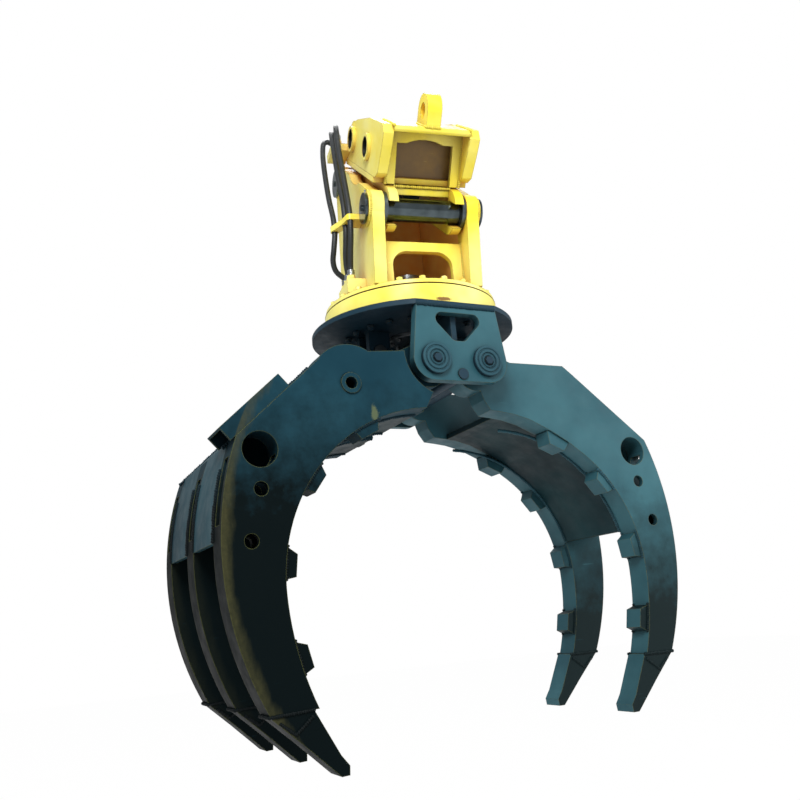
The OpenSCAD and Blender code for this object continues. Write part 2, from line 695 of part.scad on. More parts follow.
module in_right_base() in_turntable() translate([hinge_x, 0, -hinge_drop]) children();
module in_left_base() in_turntable() translate([-hinge_x, 0, -hinge_drop]) mirror([1, 0, 0]) children();
module right_cylinder_barrel() in_right_base() barrel(0);
module right_cylinder_rod() in_right_base() rod(0);
module left_cylinder_barrel() in_left_base() barrel(left_rest);
module left_cylinder_rod() in_left_base() rod(left_rest);

// Jaw profile, from the hinge pin: u outwards along x, and z up. The left jaw's inner edge sits a
// little nearer to its pin than the right one's.
palm_out_u = 668;
palm_top_z = -210;
palm_c = [palm_out_u - palm_r, palm_top_z - palm_r];
left_palm_step = [-20, 18];
left_palm_c = palm_c + left_palm_step;
back_far_u = 832;
back_far_z = -640;
back_c = [back_far_u - back_r, back_far_z];
knee_u = 436;
knee_z = 4;
elbow_u = 775;
elbow_z = -275;
seam_z = -1074;
hub_r = 86;
neck_z = 32;
neck_u = 158;
shoulder_u = 400;
out_step_u = 130;
out_step_z = 60;
back_out_u = elbow_u + out_step_u;
back_out_z = elbow_z - out_step_z;

// The right jaw's inner edge near its root, as shares of the palm's radius from the palm's centre
root_shares = [[-0.3, 1.09], [-0.12, 1.096], [-0.03, 1.085], [0.06, 1.072], [0.184, 1.038], [0.338, 0.967],
  [0.476, 0.89], [0.622, 0.783], [0.5, 0.5], [-0.3, 0.5]];

module inner_cut_2d(c, more) {
  translate(c) circle(r = palm_r + more, $fn = 2 * fine);
  intersection() {
    translate([c[0] + palm_r - claw_r, c[1]]) circle(r = claw_r + more, $fn = 2 * fine);
    translate([0, seam_z - palm_r]) square([2 * palm_r, palm_r + c[1] - seam_z]);
  }
  if (c == palm_c) translate([0, more]) polygon([for (s = root_shares) c + palm_r * s]);
}

// The tine's body below the line from knee to elbow, between back and palm
module blade_2d(c, window) difference() {
  intersection() {
    translate(back_c) circle(r = back_r, $fn = 2 * fine);
    polygon(concat(window, [[elbow_u, elbow_z], [back_out_u, back_out_z], [back_out_u, seam_z],
      [c[0], seam_z], c]));
  }
  inner_cut_2d(c, 0);
}

// Windows: the blade's outline from its root to the knee, in the left outer, right and middle tines
left_hip = [[98, -195], [62, -138], [62, -60], [140, 10]];
left_window = concat(left_hip, [[knee_u, knee_z]]);
root_u = 51;
root_z = -157;
throat = [26, -120];
hub_foot_u = 14;
hub_brow_u = 20;
hub_inset = 3;
right_window = [[root_u, palm_top_z], [root_u, root_z], throat, [hub_foot_u, hub_inset - hub_r], [0, 0],
  [hub_brow_u, hub_r - hub_inset], [neck_u, neck_z], [shoulder_u, neck_z], [knee_u, knee_z]];
middle_hip = [[440, -310], [430, -150]];
middle_step = 16;
middle_window = concat(middle_hip, [[knee_u + middle_step, knee_z - middle_step]]);

boss_bump_r = 133;
hinge_clear_r = 150;
band = 24;
hole_steps = [[-80, -151], [-36, -304]];
small_hole_r = 22;
big_hole_step = [-88, -30];
big_hole = [elbow_u, elbow_z] + big_hole_step;
slot_high = 43;
slot_low = 245;
slot_from = slot_high - elbow_z;
slot_to = slot_low - elbow_z;
slot_depth = 60;

module tine_holes_2d() {
  translate(big_hole) circle(r = big_hole_r, $fn = fine);
}

// The space between a tine's side plates, open at the slot in its back
module tine_core_2d(c) {
  difference() {
    intersection() {
      translate(back_c) circle(r = back_r - band, $fn = 2 * fine);
      translate([c[0], seam_z + slot_depth]) square([back_r, -seam_z - slot_depth - slot_from]);
    }
    inner_cut_2d(c, band);
  }
  translate([elbow_u - slot_depth, -slot_to]) square([back_r / 4, slot_to - slot_from]);
}

module tine(y, c) difference() {
  plate_y(y - tine_t / 2, tine_t) difference() {
    children();
    tine_holes_2d();
  }
  plate_y(y - tine_t / 2 + tine_wall, tine_t - 2 * tine_wall) tine_core_2d(c);
  for (p = hole_steps) translate([elbow_u + p[0], 0, elbow_z + p[1]])
    rod_y(small_hole_r, y - tine_t / 2 - over, tine_t + 2 * over);
}

module left_outer_2d() difference() {
  union() {
    blade_2d(left_palm_c, left_window);
    translate(rod_pin) circle(r = boss_bump_r, $fn = fine);
  }
  circle(r = hinge_clear_r, $fn = fine);
  inner_cut_2d(left_palm_c, 0);
  translate(rod_pin) circle(r = eye_pin_r, $fn = fine);
}

module left_tine_front() color(dark) in_left_jaw() tine(-left_tine_y, left_palm_c) left_outer_2d();
module left_tine_rear() color(dark) in_left_jaw() tine(left_tine_y, left_palm_c) left_outer_2d();
module left_tine_middle() color(dark) in_left_jaw() tine(0, left_palm_c) blade_2d(left_palm_c, middle_window);

module right_tine_2d() difference() {
  union() {
    blade_2d(palm_c, right_window);
    circle(r = hub_r, $fn = fine);
  }
  circle(r = hinge_pin_r + play, $fn = fine);
}
module right_tine_front() color(blue) in_right_jaw() tine(-right_tine_y, palm_c) right_tine_2d();
module right_tine_rear() color(blue) in_right_jaw() tine(right_tine_y, palm_c) right_tine_2d();

// Palm and back plates run between the tines
palm_t = 20;
palm_low = -610;
back_low = -566;
arm_y = 238;
arm_t = 62;
sheet_gap = 0.25;

palm_from = 8;
module palm_2d(c) difference() {
  intersection() {
    inner_cut_2d(c, palm_t);
    translate([c[0] - palm_from, palm_low]) square([2 * palm_r, 2 * palm_r]);
  }
  inner_cut_2d(c, 0);
}

// A point along the straight back from the knee, and inward of it
back_dir = unit([elbow_u - knee_u, elbow_z - knee_z]);
function on_back(s, t) = [knee_u, knee_z] + s * back_dir + t * [back_dir[1], -back_dir[0]];
back_from = 50;
elbow_s = norm([elbow_u - knee_u, elbow_z - knee_z]) - palm_t / 2;

module back_2d() difference() {
  intersection() {
    translate(back_c) circle(r = back_r, $fn = 2 * fine);
    polygon([on_back(back_from, 0), [elbow_u, elbow_z], [back_out_u, back_out_z],
      [back_out_u, back_low], [palm_c[0] + palm_r, back_low], [elbow_u - slot_depth, elbow_z],
      on_back(back_from, palm_t)]);
  }
  intersection() {
    translate(back_c) circle(r = back_r - palm_t, $fn = 2 * fine);
    polygon([on_back(back_from - over, palm_t), on_back(elbow_s, palm_t), [back_out_u, back_out_z - palm_t / 2],
      [back_out_u, back_low - over], [palm_c[0], back_low - over], [palm_c[0], knee_z - back_from]]);
  }
}

// Spans between the tines of a jaw, each as [from, to]
left_spans = [[-left_tine_y + tine_t / 2, -tine_t / 2], [tine_t / 2, left_tine_y - tine_t / 2]];
right_spans = [[-right_tine_y + tine_t / 2, right_tine_y - tine_t / 2]];

module sheets(spans) for (s = spans) plate_y(s[0], s[1] - s[0]) children();

module left_palm() color(dark) in_left_jaw() sheets(left_spans) palm_2d(left_palm_c);
module left_back() color(dark) in_left_jaw() sheets(left_spans) back_2d();
module right_back() color(blue) in_right_jaw() sheets(right_spans) back_2d();

// The right jaw's palm carries two lugs for the rod pin
jaw_lug_in = 34;
jaw_lug_t = 34;
jaw_lug_r = 56;
jaw_lug_shares = [[0.62, 0.8], [0.4, 0.95]];
module jaw_lug_2d() difference() {
  union() {
    translate(rod_pin) circle(r = jaw_lug_r, $fn = fine);
    polygon([rod_pin + [-jaw_lug_r, 0], rod_pin + [jaw_lug_r, 0], palm_c + palm_r * jaw_lug_shares[0],
      palm_c + palm_r * jaw_lug_shares[1]]);
  }
  inner_cut_2d(palm_c, palm_t);
  translate(rod_pin) circle(r = eye_pin_r, $fn = fine);
}
module right_palm() color(blue) in_right_jaw() {
  sheets(right_spans) palm_2d(palm_c);
  for (s = [0, 1]) mirror([0, s, 0]) plate_y(jaw_lug_in, jaw_lug_t) jaw_lug_2d();
}
module right_cylinder_pin() color(steel) in_right_jaw() translate([rod_pin[0], 0, rod_pin[1]])
  rod_y(eye_pin_r, -jaw_lug_in - jaw_lug_t - base_pin_over, 2 * (jaw_lug_in + jaw_lug_t + base_pin_over));

// The left jaw's arms run from the hinge pin inside the hinge plates to its palm and back
arm_shares = [[0.84, 0.75], [0.036, 0.73]];
arm_root = [[60, -240], [40, -165]];
arm_window = concat([[0, 0], [hub_brow_u, hub_r - hub_inset], [neck_u, neck_z], [shoulder_u, neck_z],
  [knee_u, knee_z], on_back(back_from, 0), on_back(back_from, palm_t), on_back(4 * back_from, palm_t)],
  [for (s = arm_shares) left_palm_c + palm_r * s], arm_root, [[hub_brow_u, hub_inset - hub_r]]);
module arm_2d() difference() {
  union() {
    polygon(arm_window);
    circle(r = hub_r, $fn = fine);
  }
  circle(r = hinge_pin_r + play, $fn = fine);
  inner_cut_2d(left_palm_c, palm_t);
  translate(rod_pin) circle(r = eye_pin_r, $fn = fine);
}
module left_arms() color(dark) in_left_jaw()
  for (s = [0, 1]) mirror([0, s, 0]) plate_y(arm_y, arm_t) arm_2d();

tube_over = 6;
tube_bore_r = 20;
module left_cross_tube() color(dark) in_left_jaw() translate([rod_pin[0], 0, rod_pin[1]]) difference() {
  rod_y(eye_pin_r, -left_tine_y - tine_t / 2 - tube_over, 2 * left_tine_y + tine_t + 2 * tube_over);
  rod_y(tube_bore_r, -left_tine_y - tine_t, 2 * (left_tine_y + tine_t));
}

// Guard box on the left jaw's back: a channel over the front tine, open at its lower end
guard_w = 152;
guard_h = 52;
guard_len = 262;
guard_wall = 8;
guard_at = 176;
guard_lean = atan2(elbow_z - knee_z, elbow_u - knee_u);
module left_guard_box() color(dark) in_left_jaw()
  translate([knee_u, -left_tine_y - tine_t / 2, knee_z]) rotate([0, -guard_lean, 0])
    translate([guard_at, 0, 0]) difference() {
      cube([guard_len, guard_w, guard_h]);
      translate([guard_wall, guard_wall, -over])
        cube([guard_len, guard_w - 2 * guard_wall, guard_h - guard_wall + over]);
    }

// Gripping teeth along the inner edge, and the wedge tips
upper_teeth = [66, 39, 9.5];
// the lower tooth stands above the tip seam
claw_tooth_rise = 128.5878;
claw_tooth = -asin((palm_c[1] - seam_z - claw_tooth_rise) / claw_r);
tooth_w = 80;
tooth_chamfer = 24;
tooth_sink = 6;
tooth_reach = 20;
module tooth_block_2d(r) translate([r + tooth_sink, 0]) polygon([[0, tooth_len / 2],
  [-tooth_h, tooth_len / 2 - tooth_chamfer], [-tooth_h, tooth_chamfer / 2 - tooth_len / 2], [0, -tooth_len / 2],
  [tooth_reach, -tooth_len / 2], [tooth_reach, tooth_len / 2]]);

module grips_2d(c, teeth) intersection() {
  union() {
    for (a = teeth) translate(c) rotate(a) tooth_block_2d(palm_r);
    translate([c[0] + palm_r - claw_r, c[1]]) rotate(claw_tooth) tooth_block_2d(claw_r);
  }
  inner_cut_2d(c, -play);
}

module grips(ys, c) for (y = ys) plate_y(y - tooth_w / 2, tooth_w)
  grips_2d(c, y == 0 ? [upper_teeth[1], upper_teeth[2]] : upper_teeth);
module left_grips() color(dark) in_left_jaw() grips([-left_tine_y, 0, left_tine_y], left_palm_c);
module right_grips() color(blue) in_right_jaw() grips([-right_tine_y, right_tine_y], palm_c);

tip_steps = [[736, 0], [640, -94], [541, -195], [516, -195], [513, -169], [536, -137], [603, 0]];
tip_out = [for (p = tip_steps) p + [0, seam_z]];
tip_t = 92;
module tips(ys) for (y = ys) plate_y(y - tip_t / 2, tip_t) polygon(tip_out);
module left_tips() color(dark) in_left_jaw() tips([-left_tine_y, 0, left_tine_y]);
module right_tips() color(blue) in_right_jaw() tips([-right_tine_y, right_tine_y]);

// Hoses. Routes are chosen points in the head's frame, from the bulkhead down to the port block.
route_front = [[-236, 60, 912], [-236, 60, 934], [-243, 40, 950], [-250, 14, 946], [-256, -10, 915],
  [-260, -34, 860], [-262, -62, 790], [-263, -90, 715], [-264, -118, 640], [-264, -144, 565],
  [-264, -165, 500], [-264, -175, 455], [-264, -176, 400], [-264, -166, 350], [-264, -148, 308],
  [-263, -132, 276], [-262, -120, 246], [-262, -120, 214]];
route_middle = [[-236, 100, 912], [-236, 100, 936], [-248, 90, 953], [-258, 70, 950], [-264, 44, 925],
  [-268, 16, 870], [-271, -14, 800], [-273, -44, 725], [-274, -74, 650], [-274, -102, 575],
  [-274, -124, 510], [-274, -133, 455], [-274, -134, 400], [-274, -120, 350], [-273, -98, 306],
  [-268, -78, 274], [-262, -68, 244], [-262, -68, 214]];
route_rear = [[-236, 140, 912], [-236, 140, 934], [-252, 142, 950], [-270, 136, 948], [-286, 122, 924],
  [-296, 96, 860], [-301, 68, 790], [-303, 42, 720], [-304, 16, 650], [-304, -12, 580],
  [-304, -54, 500], [-304, -69, 450], [-304, -70, 410], [-310, -62, 350], [-312, -42, 306],
  [-298, -24, 272], [-262, -16, 242], [-262, -16, 214]];
hose_sides = 8;

function ahead(p, i) = unit(p[min(i + 1, len(p) - 1)] - p[max(i - 1, 0)]);
function side_of(p, i) = unit(cross(ahead(p, i), [1, 0.2, 0.1]));
function loop_of(p, i) = [for (k = [0 : hose_sides - 1])
  p[i] + hose_r * (cos(k * 360 / hose_sides) * side_of(p, i)
    + sin(k * 360 / hose_sides) * cross(ahead(p, i), side_of(p, i)))];

module swept(p) polyhedron(
  points = [for (i = [0 : len(p) - 1]) each loop_of(p, i)],
  faces = concat(
    [[for (k = [0 : hose_sides - 1]) hose_sides - 1 - k]],
    [for (i = [0 : len(p) - 2], k = [0 : hose_sides - 1]) each
      [[i * hose_sides + k, i * hose_sides + (k + 1) % hose_sides, (i + 1) * hose_sides + k],
       [i * hose_sides + (k + 1) % hose_sides, (i + 1) * hose_sides + (k + 1) % hose_sides,
        (i + 1) * hose_sides + k]]],
    [[for (k = [0 : hose_sides - 1]) (len(p) - 1) * hose_sides + k]]));

module hose_front() color(rubber) in_head() swept(route_front);
module hose_middle() color(rubber) in_head() swept(route_middle);
module hose_rear() color(rubber) in_head() swept(route_rear);

// The block that takes the hoses' lower ends on the ear, and the bulkhead on the hitch's cheek
block_w = 160;
block_h = 60;
block_t = 74;
bulkhead_w = 112;
bulkhead_t = 78;
bulkhead_h = 34;
nut_r = 17;
nut_h = 20;
routes = [route_front, route_middle, route_rear];

module hose_blocks() color(steel) in_head() {
  low = route_middle[17];
  high = route_middle[0];
  translate([-ear_in - ear_t - block_t, low[1] - block_w / 2, low[2] - nut_h - block_h])
    cube([block_t, block_w, block_h]);
  translate([-deck_half - bulkhead_t, high[1] - bulkhead_w / 2, high[2] - nut_h - bulkhead_h])
    cube([bulkhead_t, bulkhead_w, bulkhead_h]);
  for (r = routes) {
    translate([r[17][0], r[17][1], r[17][2] - nut_h]) bolt_head(nut_r, nut_h);
    translate([r[0][0], r[0][1], r[0][2] - nut_h]) bolt_head(nut_r, nut_h);
  }
}

// The yellow clamp that ties the hoses to the ear
clamp_h = 24;
clamp_z = 430;
clamp_t = 5;
clamp_r = hose_r + clamp_t;
clamped = [for (r = routes) [r[12][0], r[12][1]]];
module hose_clamp() color(yellow) in_head() translate([0, 0, clamp_z - clamp_h / 2])
  linear_extrude(clamp_h) difference() {
    union() {
      for (c = clamped) translate(c) circle(r = clamp_r, $fn = 48);
      polygon([[-ear_in - ear_t, clamped[0][1] - clamp_r], [-ear_in - ear_t, clamped[1][1] + clamp_r],
        clamped[1] + [0, clamp_r], clamped[0] + [0, -clamp_r]]);
      strap_2d(clamped[0], clamped[1]);
      strap_2d(clamped[1], clamped[2]);
    }
    for (c = clamped) translate(c) circle(r = hose_r + gap / 2, $fn = 48);
  }
module strap_2d(a, b) let (n = [unit(b - a)[1], -unit(b - a)[0]] * clamp_r)
  polygon([a + n, b + n, b - n, a - n]);

base_plate();
ring_housing();
bearing_outer_ring();
housing_bolts();
head_ear_left();
head_ear_right();
head_front_plate();
head_rear_plate();
front_pin();
rear_pin();
pin_collars();
slew_motor();
union_stator();
hose_blocks();
hose_clamp();
hose_front();
hose_middle();
hose_rear();
hitch_cheek_left();
hitch_cheek_right();
hitch_deck();
hitch_front_box();
hitch_lifting_eye();
hitch_bushes();
hitch_lock_barrel();
hitch_lock_jaw();
turntable_disc();
gear_ring();
bearing_balls();
union_rotor();
hinge_plate_front();
hinge_plate_rear();
hinge_web();
hinge_pin_left();
hinge_pin_right();
cylinder_lugs();
cylinder_base_pins();
pinion();
left_tine_front();
left_tine_middle();
left_tine_rear();
left_arms();
left_palm();
left_back();
left_guard_box();
left_cross_tube();
left_grips();
left_tips();
right_tine_front();
right_tine_rear();
right_palm();
right_back();
right_cylinder_pin();
right_grips();
right_tips();
left_cylinder_barrel();
left_cylinder_rod();
right_cylinder_barrel();
right_cylinder_rod();
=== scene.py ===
"""Rotating grapple for pipes and logs, hanging from its quick hitch."""

import math

import bmesh
import bpy
from mathutils import Matrix, Vector


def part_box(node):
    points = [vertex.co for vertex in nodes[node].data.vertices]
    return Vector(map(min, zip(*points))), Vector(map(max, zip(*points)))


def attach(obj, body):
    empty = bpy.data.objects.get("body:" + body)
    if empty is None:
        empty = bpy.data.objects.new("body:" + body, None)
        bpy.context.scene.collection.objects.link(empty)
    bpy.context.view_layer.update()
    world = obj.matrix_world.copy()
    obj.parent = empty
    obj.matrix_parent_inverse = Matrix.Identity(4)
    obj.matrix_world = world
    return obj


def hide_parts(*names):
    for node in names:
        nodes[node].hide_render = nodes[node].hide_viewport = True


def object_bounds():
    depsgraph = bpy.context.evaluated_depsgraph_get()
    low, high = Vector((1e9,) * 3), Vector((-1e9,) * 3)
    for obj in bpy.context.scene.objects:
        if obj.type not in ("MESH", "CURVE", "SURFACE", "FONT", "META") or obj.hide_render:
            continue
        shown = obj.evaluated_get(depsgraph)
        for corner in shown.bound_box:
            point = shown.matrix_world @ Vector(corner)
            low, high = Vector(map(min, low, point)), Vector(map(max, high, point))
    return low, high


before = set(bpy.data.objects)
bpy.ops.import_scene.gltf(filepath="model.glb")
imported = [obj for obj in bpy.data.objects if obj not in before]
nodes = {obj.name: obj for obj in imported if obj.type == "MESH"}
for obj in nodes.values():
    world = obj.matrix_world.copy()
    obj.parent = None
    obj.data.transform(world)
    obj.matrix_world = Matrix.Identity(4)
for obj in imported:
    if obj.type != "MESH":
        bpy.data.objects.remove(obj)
cad_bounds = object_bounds()


# Camera. It stands in front and to the left of the grapple, a little above the ground, and looks
# up at the slewing ring, as the photograph does.
LENS_MM = 38.38
CAMERA_AT = (-1.4995, -2.8637, -1.9574)
CAMERA_RIGHT = Vector((0.902560, -0.422916, -0.080789))
CAMERA_UP = Vector((-0.035312, -0.259712, 0.965040))
FAR_CLIP = 60
camera_data = bpy.data.cameras.new("camera")
camera_data.lens = LENS_MM
camera_data.clip_end = FAR_CLIP
camera = bpy.data.objects.new("camera", camera_data)
camera_back = CAMERA_RIGHT.cross(CAMERA_UP)
turn = Matrix((CAMERA_RIGHT, CAMERA_UP, camera_back)).transposed()
camera.matrix_world = Matrix.Translation(CAMERA_AT) @ turn.to_4x4()
bpy.context.scene.collection.objects.link(camera)
bpy.context.scene.camera = camera


# Studio. A pale floor below the tips, a white world behind, a large soft lamp from the front left
# above, a weaker one from the right and one from behind above.
def linear(code):
    """A colour written as sRGB hex, in the linear values that Blender's sockets take."""
    parts = [int(code[i : i + 2], 16) / 255 for i in (1, 3, 5)]
    return [c / 12.92 if c <= 0.04045 else ((c + 0.055) / 1.055) ** 2.4 for c in parts] + [1]


def put(tree, kind, sockets=None, **settings):
    """Adds a node with its settings, and values or links for its sockets."""
    made = tree.nodes.new(kind)
    for name, value in settings.items():
        setattr(made, name, value)
    for key, value in (sockets or {}).items():
        if isinstance(value, bpy.types.NodeSocket):
            tree.links.new(value, made.inputs[key])
        else:
            made.inputs[key].default_value = value
    return made


def blank(name):
    """A new material and its emptied node tree."""
    made = bpy.data.materials.new(name)
    made.use_nodes = True
    made.node_tree.nodes.clear()
    return made, made.node_tree


FLOOR_DROP = 0.55
FLOOR_HALF = 14
# the floor's share of plain white where the camera or a shiny face sees it
FLOOR_WHITE = 0.985
# the world's strength on the steel, where the camera sees a strength of 1
WORLD_LIGHT = 0.55
low_z = cad_bounds[0][2] - FLOOR_DROP
floor_mesh = bpy.data.meshes.new("floor")
corners = [(x * FLOOR_HALF, y * FLOOR_HALF, low_z) for x, y in ((-1, -1), (1, -1), (1, 1), (-1, 1))]
floor_mesh.from_pydata(corners, [], [(0, 1, 2, 3)])
floor = bpy.data.objects.new("floor", floor_mesh)
bpy.context.scene.collection.objects.link(floor)
paper, tree = blank("pale_paper")
rays = put(tree, "ShaderNodeLightPath").outputs
seen = rays["Is Camera Ray"]
for ray in ("Is Glossy Ray", "Is Transmission Ray"):
    seen = put(tree, "ShaderNodeMath", {0: seen, 1: rays[ray]}, operation="MAXIMUM").outputs[0]
share = put(tree, "ShaderNodeMath", {0: seen, 1: FLOOR_WHITE}, operation="MULTIPLY")
matt = put(tree, "ShaderNodeBsdfDiffuse", {"Color": linear("#F4F4F2")})
glow = put(tree, "ShaderNodeEmission", {"Color": (1, 1, 1, 1), "Strength": 1.0})
mixed = put(tree, "ShaderNodeMixShader", {0: share.outputs[0], 1: matt.outputs[0], 2: glow.outputs[0]})
put(tree, "ShaderNodeOutputMaterial", {0: mixed.outputs[0]})
floor_mesh.materials.append(paper)

world = bpy.data.worlds.new("studio")
bpy.context.scene.world = world
world.use_nodes = True
tree = world.node_tree
tree.nodes.clear()
rays = put(tree, "ShaderNodeLightPath").outputs
seen = put(tree, "ShaderNodeMath", {0: rays["Is Camera Ray"], 1: rays["Is Transmission Ray"]},
           operation="MAXIMUM")
level = put(tree, "ShaderNodeMapRange", {0: seen.outputs[0], 3: WORLD_LIGHT, 4: 1.0})
sky = put(tree, "ShaderNodeBackground", {"Color": (1, 1, 1, 1), "Strength": level.outputs[0]})
put(tree, "ShaderNodeOutputWorld", {0: sky.outputs[0]})

# each lamp's place, the point it is aimed at, its width in metres and its watts
for name, place, aim, width, watts in (
    ("key", (-2.6, -4.2, 2.2), (0, 0, -0.8), 2.4, 330),
    ("fill", (3.6, -2.6, 0.6), (0, 0, -1.0), 3.0, 90),
    ("top", (0.6, 2.0, 3.6), (0, 0, -0.8), 2.6, 160),
):
    lamp_data = bpy.data.lights.new(name, "AREA")
    lamp_data.shape = "DISK"
    lamp_data.size = width
    lamp_data.energy = watts
    lamp = bpy.data.objects.new(name, lamp_data)
    lamp.location = place
    lamp.rotation_euler = (Vector(aim) - Vector(place)).to_track_quat("-Z", "Y").to_euler()
    bpy.context.scene.collection.objects.link(lamp)
bpy.context.scene.view_settings.view_transform = "Standard"


# Yellow steelwork: hitch, head and ring housing. Welded steel plate, primed red-brown and sprayed
# with a bright yellow enamel that has faded in patches and chipped along its edges. Its corners and
# hollows are painted in an ochre shade.
def enamel(name, coat, faded, shade_tone, under, chip=0.5, rough=0.38, sheen=0.5, shade_and_soil=1.0, hollow_shade=0.0,
           low=None, lighter_facing=None, rub=None, box=None, lining=None, marks=()):
    """Sprayed enamel on steel plate. It gives soft rounded highlights on the edges, a slight orange
    peel, faded clouds, painted shade in the corners, chips down to the primer and fine scratches.
    The argument shade_and_soil is how dark the painted shade and soil in the corners are, and
    hollow_shade how far hollows a quarter of a metre in depth show the shade tone as painted shade.
    Low is the colour that the paint turns to towards the bottom and the heights between which it
    does, lighter_facing the way of the faces that darken less. Rub is the centre and radius of a
    round outer edge that bark wears. Box is a hollow box whose inner walls were only primed: the ways
    across and behind its face, and its foot. Lining is the way that a hollow's stained wall looks, the
    hollow's direction and its start along it. Marks are the scrapes: each a place, its half lengths and a
    colour."""
    made, t = blank(name)
    at = put(t, "ShaderNodeTexCoord").outputs["Object"]
    face = put(t, "ShaderNodeNewGeometry").outputs["True Normal"]
    # clouds of 400 mm, mottle of 60 mm, chips of 12 mm
    clouds, mottle, flecks = (
        put(t, "ShaderNodeTexNoise",
            {"Vector": at, "Scale": scale, "Detail": detail, "Roughness": crisp}).outputs["Fac"]
        for scale, detail, crisp in ((2.4, 4.0, 0.55), (16.0, 6.0, 0.62), (70.0, 5.0, 0.7)))

    # edges rounded by 5 mm, where the paint chips, and corners, which take painted shade and some soil
    soft = put(t, "ShaderNodeBevel", {"Radius": 0.005}, samples=4).outputs[0]
    lean = put(t, "ShaderNodeVectorMath", {0: soft, 1: face}, operation="DOT_PRODUCT").outputs["Value"]
    edge = put(t, "ShaderNodeMapRange", {0: lean, 1: 0.995, 2: 0.80}).outputs[0]
    worn = put(t, "ShaderNodeMath", {0: edge, 1: flecks}, operation="MULTIPLY").outputs[0]
    worn = put(t, "ShaderNodeMapRange",
               {0: worn, 1: 0.52 - 0.34 * chip, 2: 0.60 - 0.34 * chip}).outputs[0]
    corner = put(t, "ShaderNodeAmbientOcclusion", {"Distance": 0.10}, samples=6).outputs["AO"]
    corner_shade_and_soil = put(t, "ShaderNodeMapRange", {0: corner, 1: 0.25, 2: 0.85, 3: 1.0, 4: 0.0}).outputs[0]
    for factor in (shade_and_soil, mottle):
        corner_shade_and_soil = put(t, "ShaderNodeMath", {0: corner_shade_and_soil, 1: factor}, operation="MULTIPLY").outputs[0]

    # scratches a few millimetres apart and a hand long, in patches
    thin = put(t, "ShaderNodeMapping",
               {"Vector": at, "Rotation": (0.5, 0.9, 0.3), "Scale": (5.0, 160.0, 90.0)}).outputs[0]
    lines = put(t, "ShaderNodeTexNoise",
                {"Vector": thin, "Scale": 1.0, "Detail": 2.0, "Roughness": 0.4}).outputs["Fac"]
    scuff = put(t, "ShaderNodeMapRange", {0: lines, 1: 0.70, 2: 0.78, 4: 0.5}).outputs[0]
    where = put(t, "ShaderNodeMapRange", {0: mottle, 1: 0.5, 2: 0.62}).outputs[0]
    scuff = put(t, "ShaderNodeMath", {0: scuff, 1: where}, operation="MULTIPLY").outputs[0]

    # what lies over the coat, from the lowest up: each a share and a colour
    patch = put(t, "ShaderNodeMapRange", {0: clouds, 1: 0.38, 2: 0.66}).outputs[0]
    layers = [(patch, linear(faded))]
    if low:
        # the paint darkens towards the bottom, between the two heights in low, and less on faces that look
        # along lighter_facing
        height = put(t, "ShaderNodeSeparateXYZ", {0: at}).outputs["Z"]
        ragged = put(t, "ShaderNodeMath", {0: mottle, 1: 0.45, 2: height}, operation="MULTIPLY_ADD")
        low_darkening = put(t, "ShaderNodeMapRange", {0: ragged.outputs[0], 1: low[1], 2: low[2]}).outputs[0]
        if lighter_facing:
            facing = put(t, "ShaderNodeVectorMath", {0: face, 1: lighter_facing}, operation="DOT_PRODUCT")
            left = put(t, "ShaderNodeMapRange",
                       {0: facing.outputs["Value"], 1: 0.35, 2: 0.75, 3: 1.0, 4: 0.15})
            low_darkening = put(t, "ShaderNodeMath", {0: low_darkening, 1: left.outputs[0]},
                       operation="MULTIPLY").outputs[0]
        layers.append((low_darkening, linear(low[0])))
    if rub:
        # bark and gravel rub a band 60 mm wide inside the outer edge, in streaks a hand long
        centre, radius = rub
        flat = put(t, "ShaderNodeVectorMath", {0: at, 1: (1.0, 0.0, 1.0)}, operation="MULTIPLY")
        reach = put(t, "ShaderNodeVectorMath", {0: flat.outputs[0], 1: (centre[0], 0.0, centre[2])},
                    operation="DISTANCE").outputs["Value"]
        ring = put(t, "ShaderNodeMapRange", {0: reach, 1: radius - 0.080, 2: radius - 0.012})
        streaks = put(t, "ShaderNodeMapping",
                      {"Vector": at, "Rotation": (0.0, 0.25, 0.0), "Scale": (26.0, 26.0, 6.0)})
        streaks = put(t, "ShaderNodeTexNoise",
                      {"Vector": streaks.outputs[0], "Scale": 1.0, "Detail": 6.0, "Roughness": 0.65})
        streaks = put(t, "ShaderNodeMath", {0: streaks.outputs["Fac"], 1: 0.85, 2: ring.outputs[0]},
                      operation="MULTIPLY_ADD")
        streaks = put(t, "ShaderNodeMapRange", {0: streaks.outputs[0], 1: 1.06, 2: 1.5, 4: 0.6})
        # only the flat sides, nothing that stands outside the edge, and mostly the tine in front
        flank = put(t, "ShaderNodeSeparateXYZ", {0: face}).outputs["Y"]
        flank = put(t, "ShaderNodeMath", {0: flank}, operation="ABSOLUTE").outputs[0]
        flank = put(t, "ShaderNodeMapRange", {0: flank, 1: 0.5, 2: 0.8, 3: 0.06, 4: 1.0})
        within = put(t, "ShaderNodeMapRange",
                     {0: reach, 1: radius + 0.001, 2: radius + 0.004, 3: 1.0, 4: 0.0})
        depth = put(t, "ShaderNodeSeparateXYZ", {0: at}).outputs["Y"]
        foremost = put(t, "ShaderNodeMapRange", {0: depth, 1: -0.38, 2: -0.34, 3: 1.0, 4: 0.15})
        rubbed = flank.outputs[0]
        for limit in (within, foremost, streaks):
            rubbed = put(t, "ShaderNodeMath", {0: rubbed, 1: limit.outputs[0]},
                         operation="MULTIPLY").outputs[0]
        bark = put(t, "ShaderNodeMix", {0: flecks, 6: linear("#262A1A"), 7: linear("#524F32")},
                   data_type="RGBA")
        layers.append((rubbed, bark.outputs[2]))
    if hollow_shade:
        # painted shade in hollows a quarter of a metre in depth
        wide = put(t, "ShaderNodeAmbientOcclusion", {"Distance": 0.26}, samples=6).outputs["AO"]
        inner = put(t, "ShaderNodeMapRange", {0: wide, 1: 0.18, 2: 0.62, 3: hollow_shade, 4: 0.0})
        layers.append((inner.outputs[0], linear(shade_tone)))
    if box:
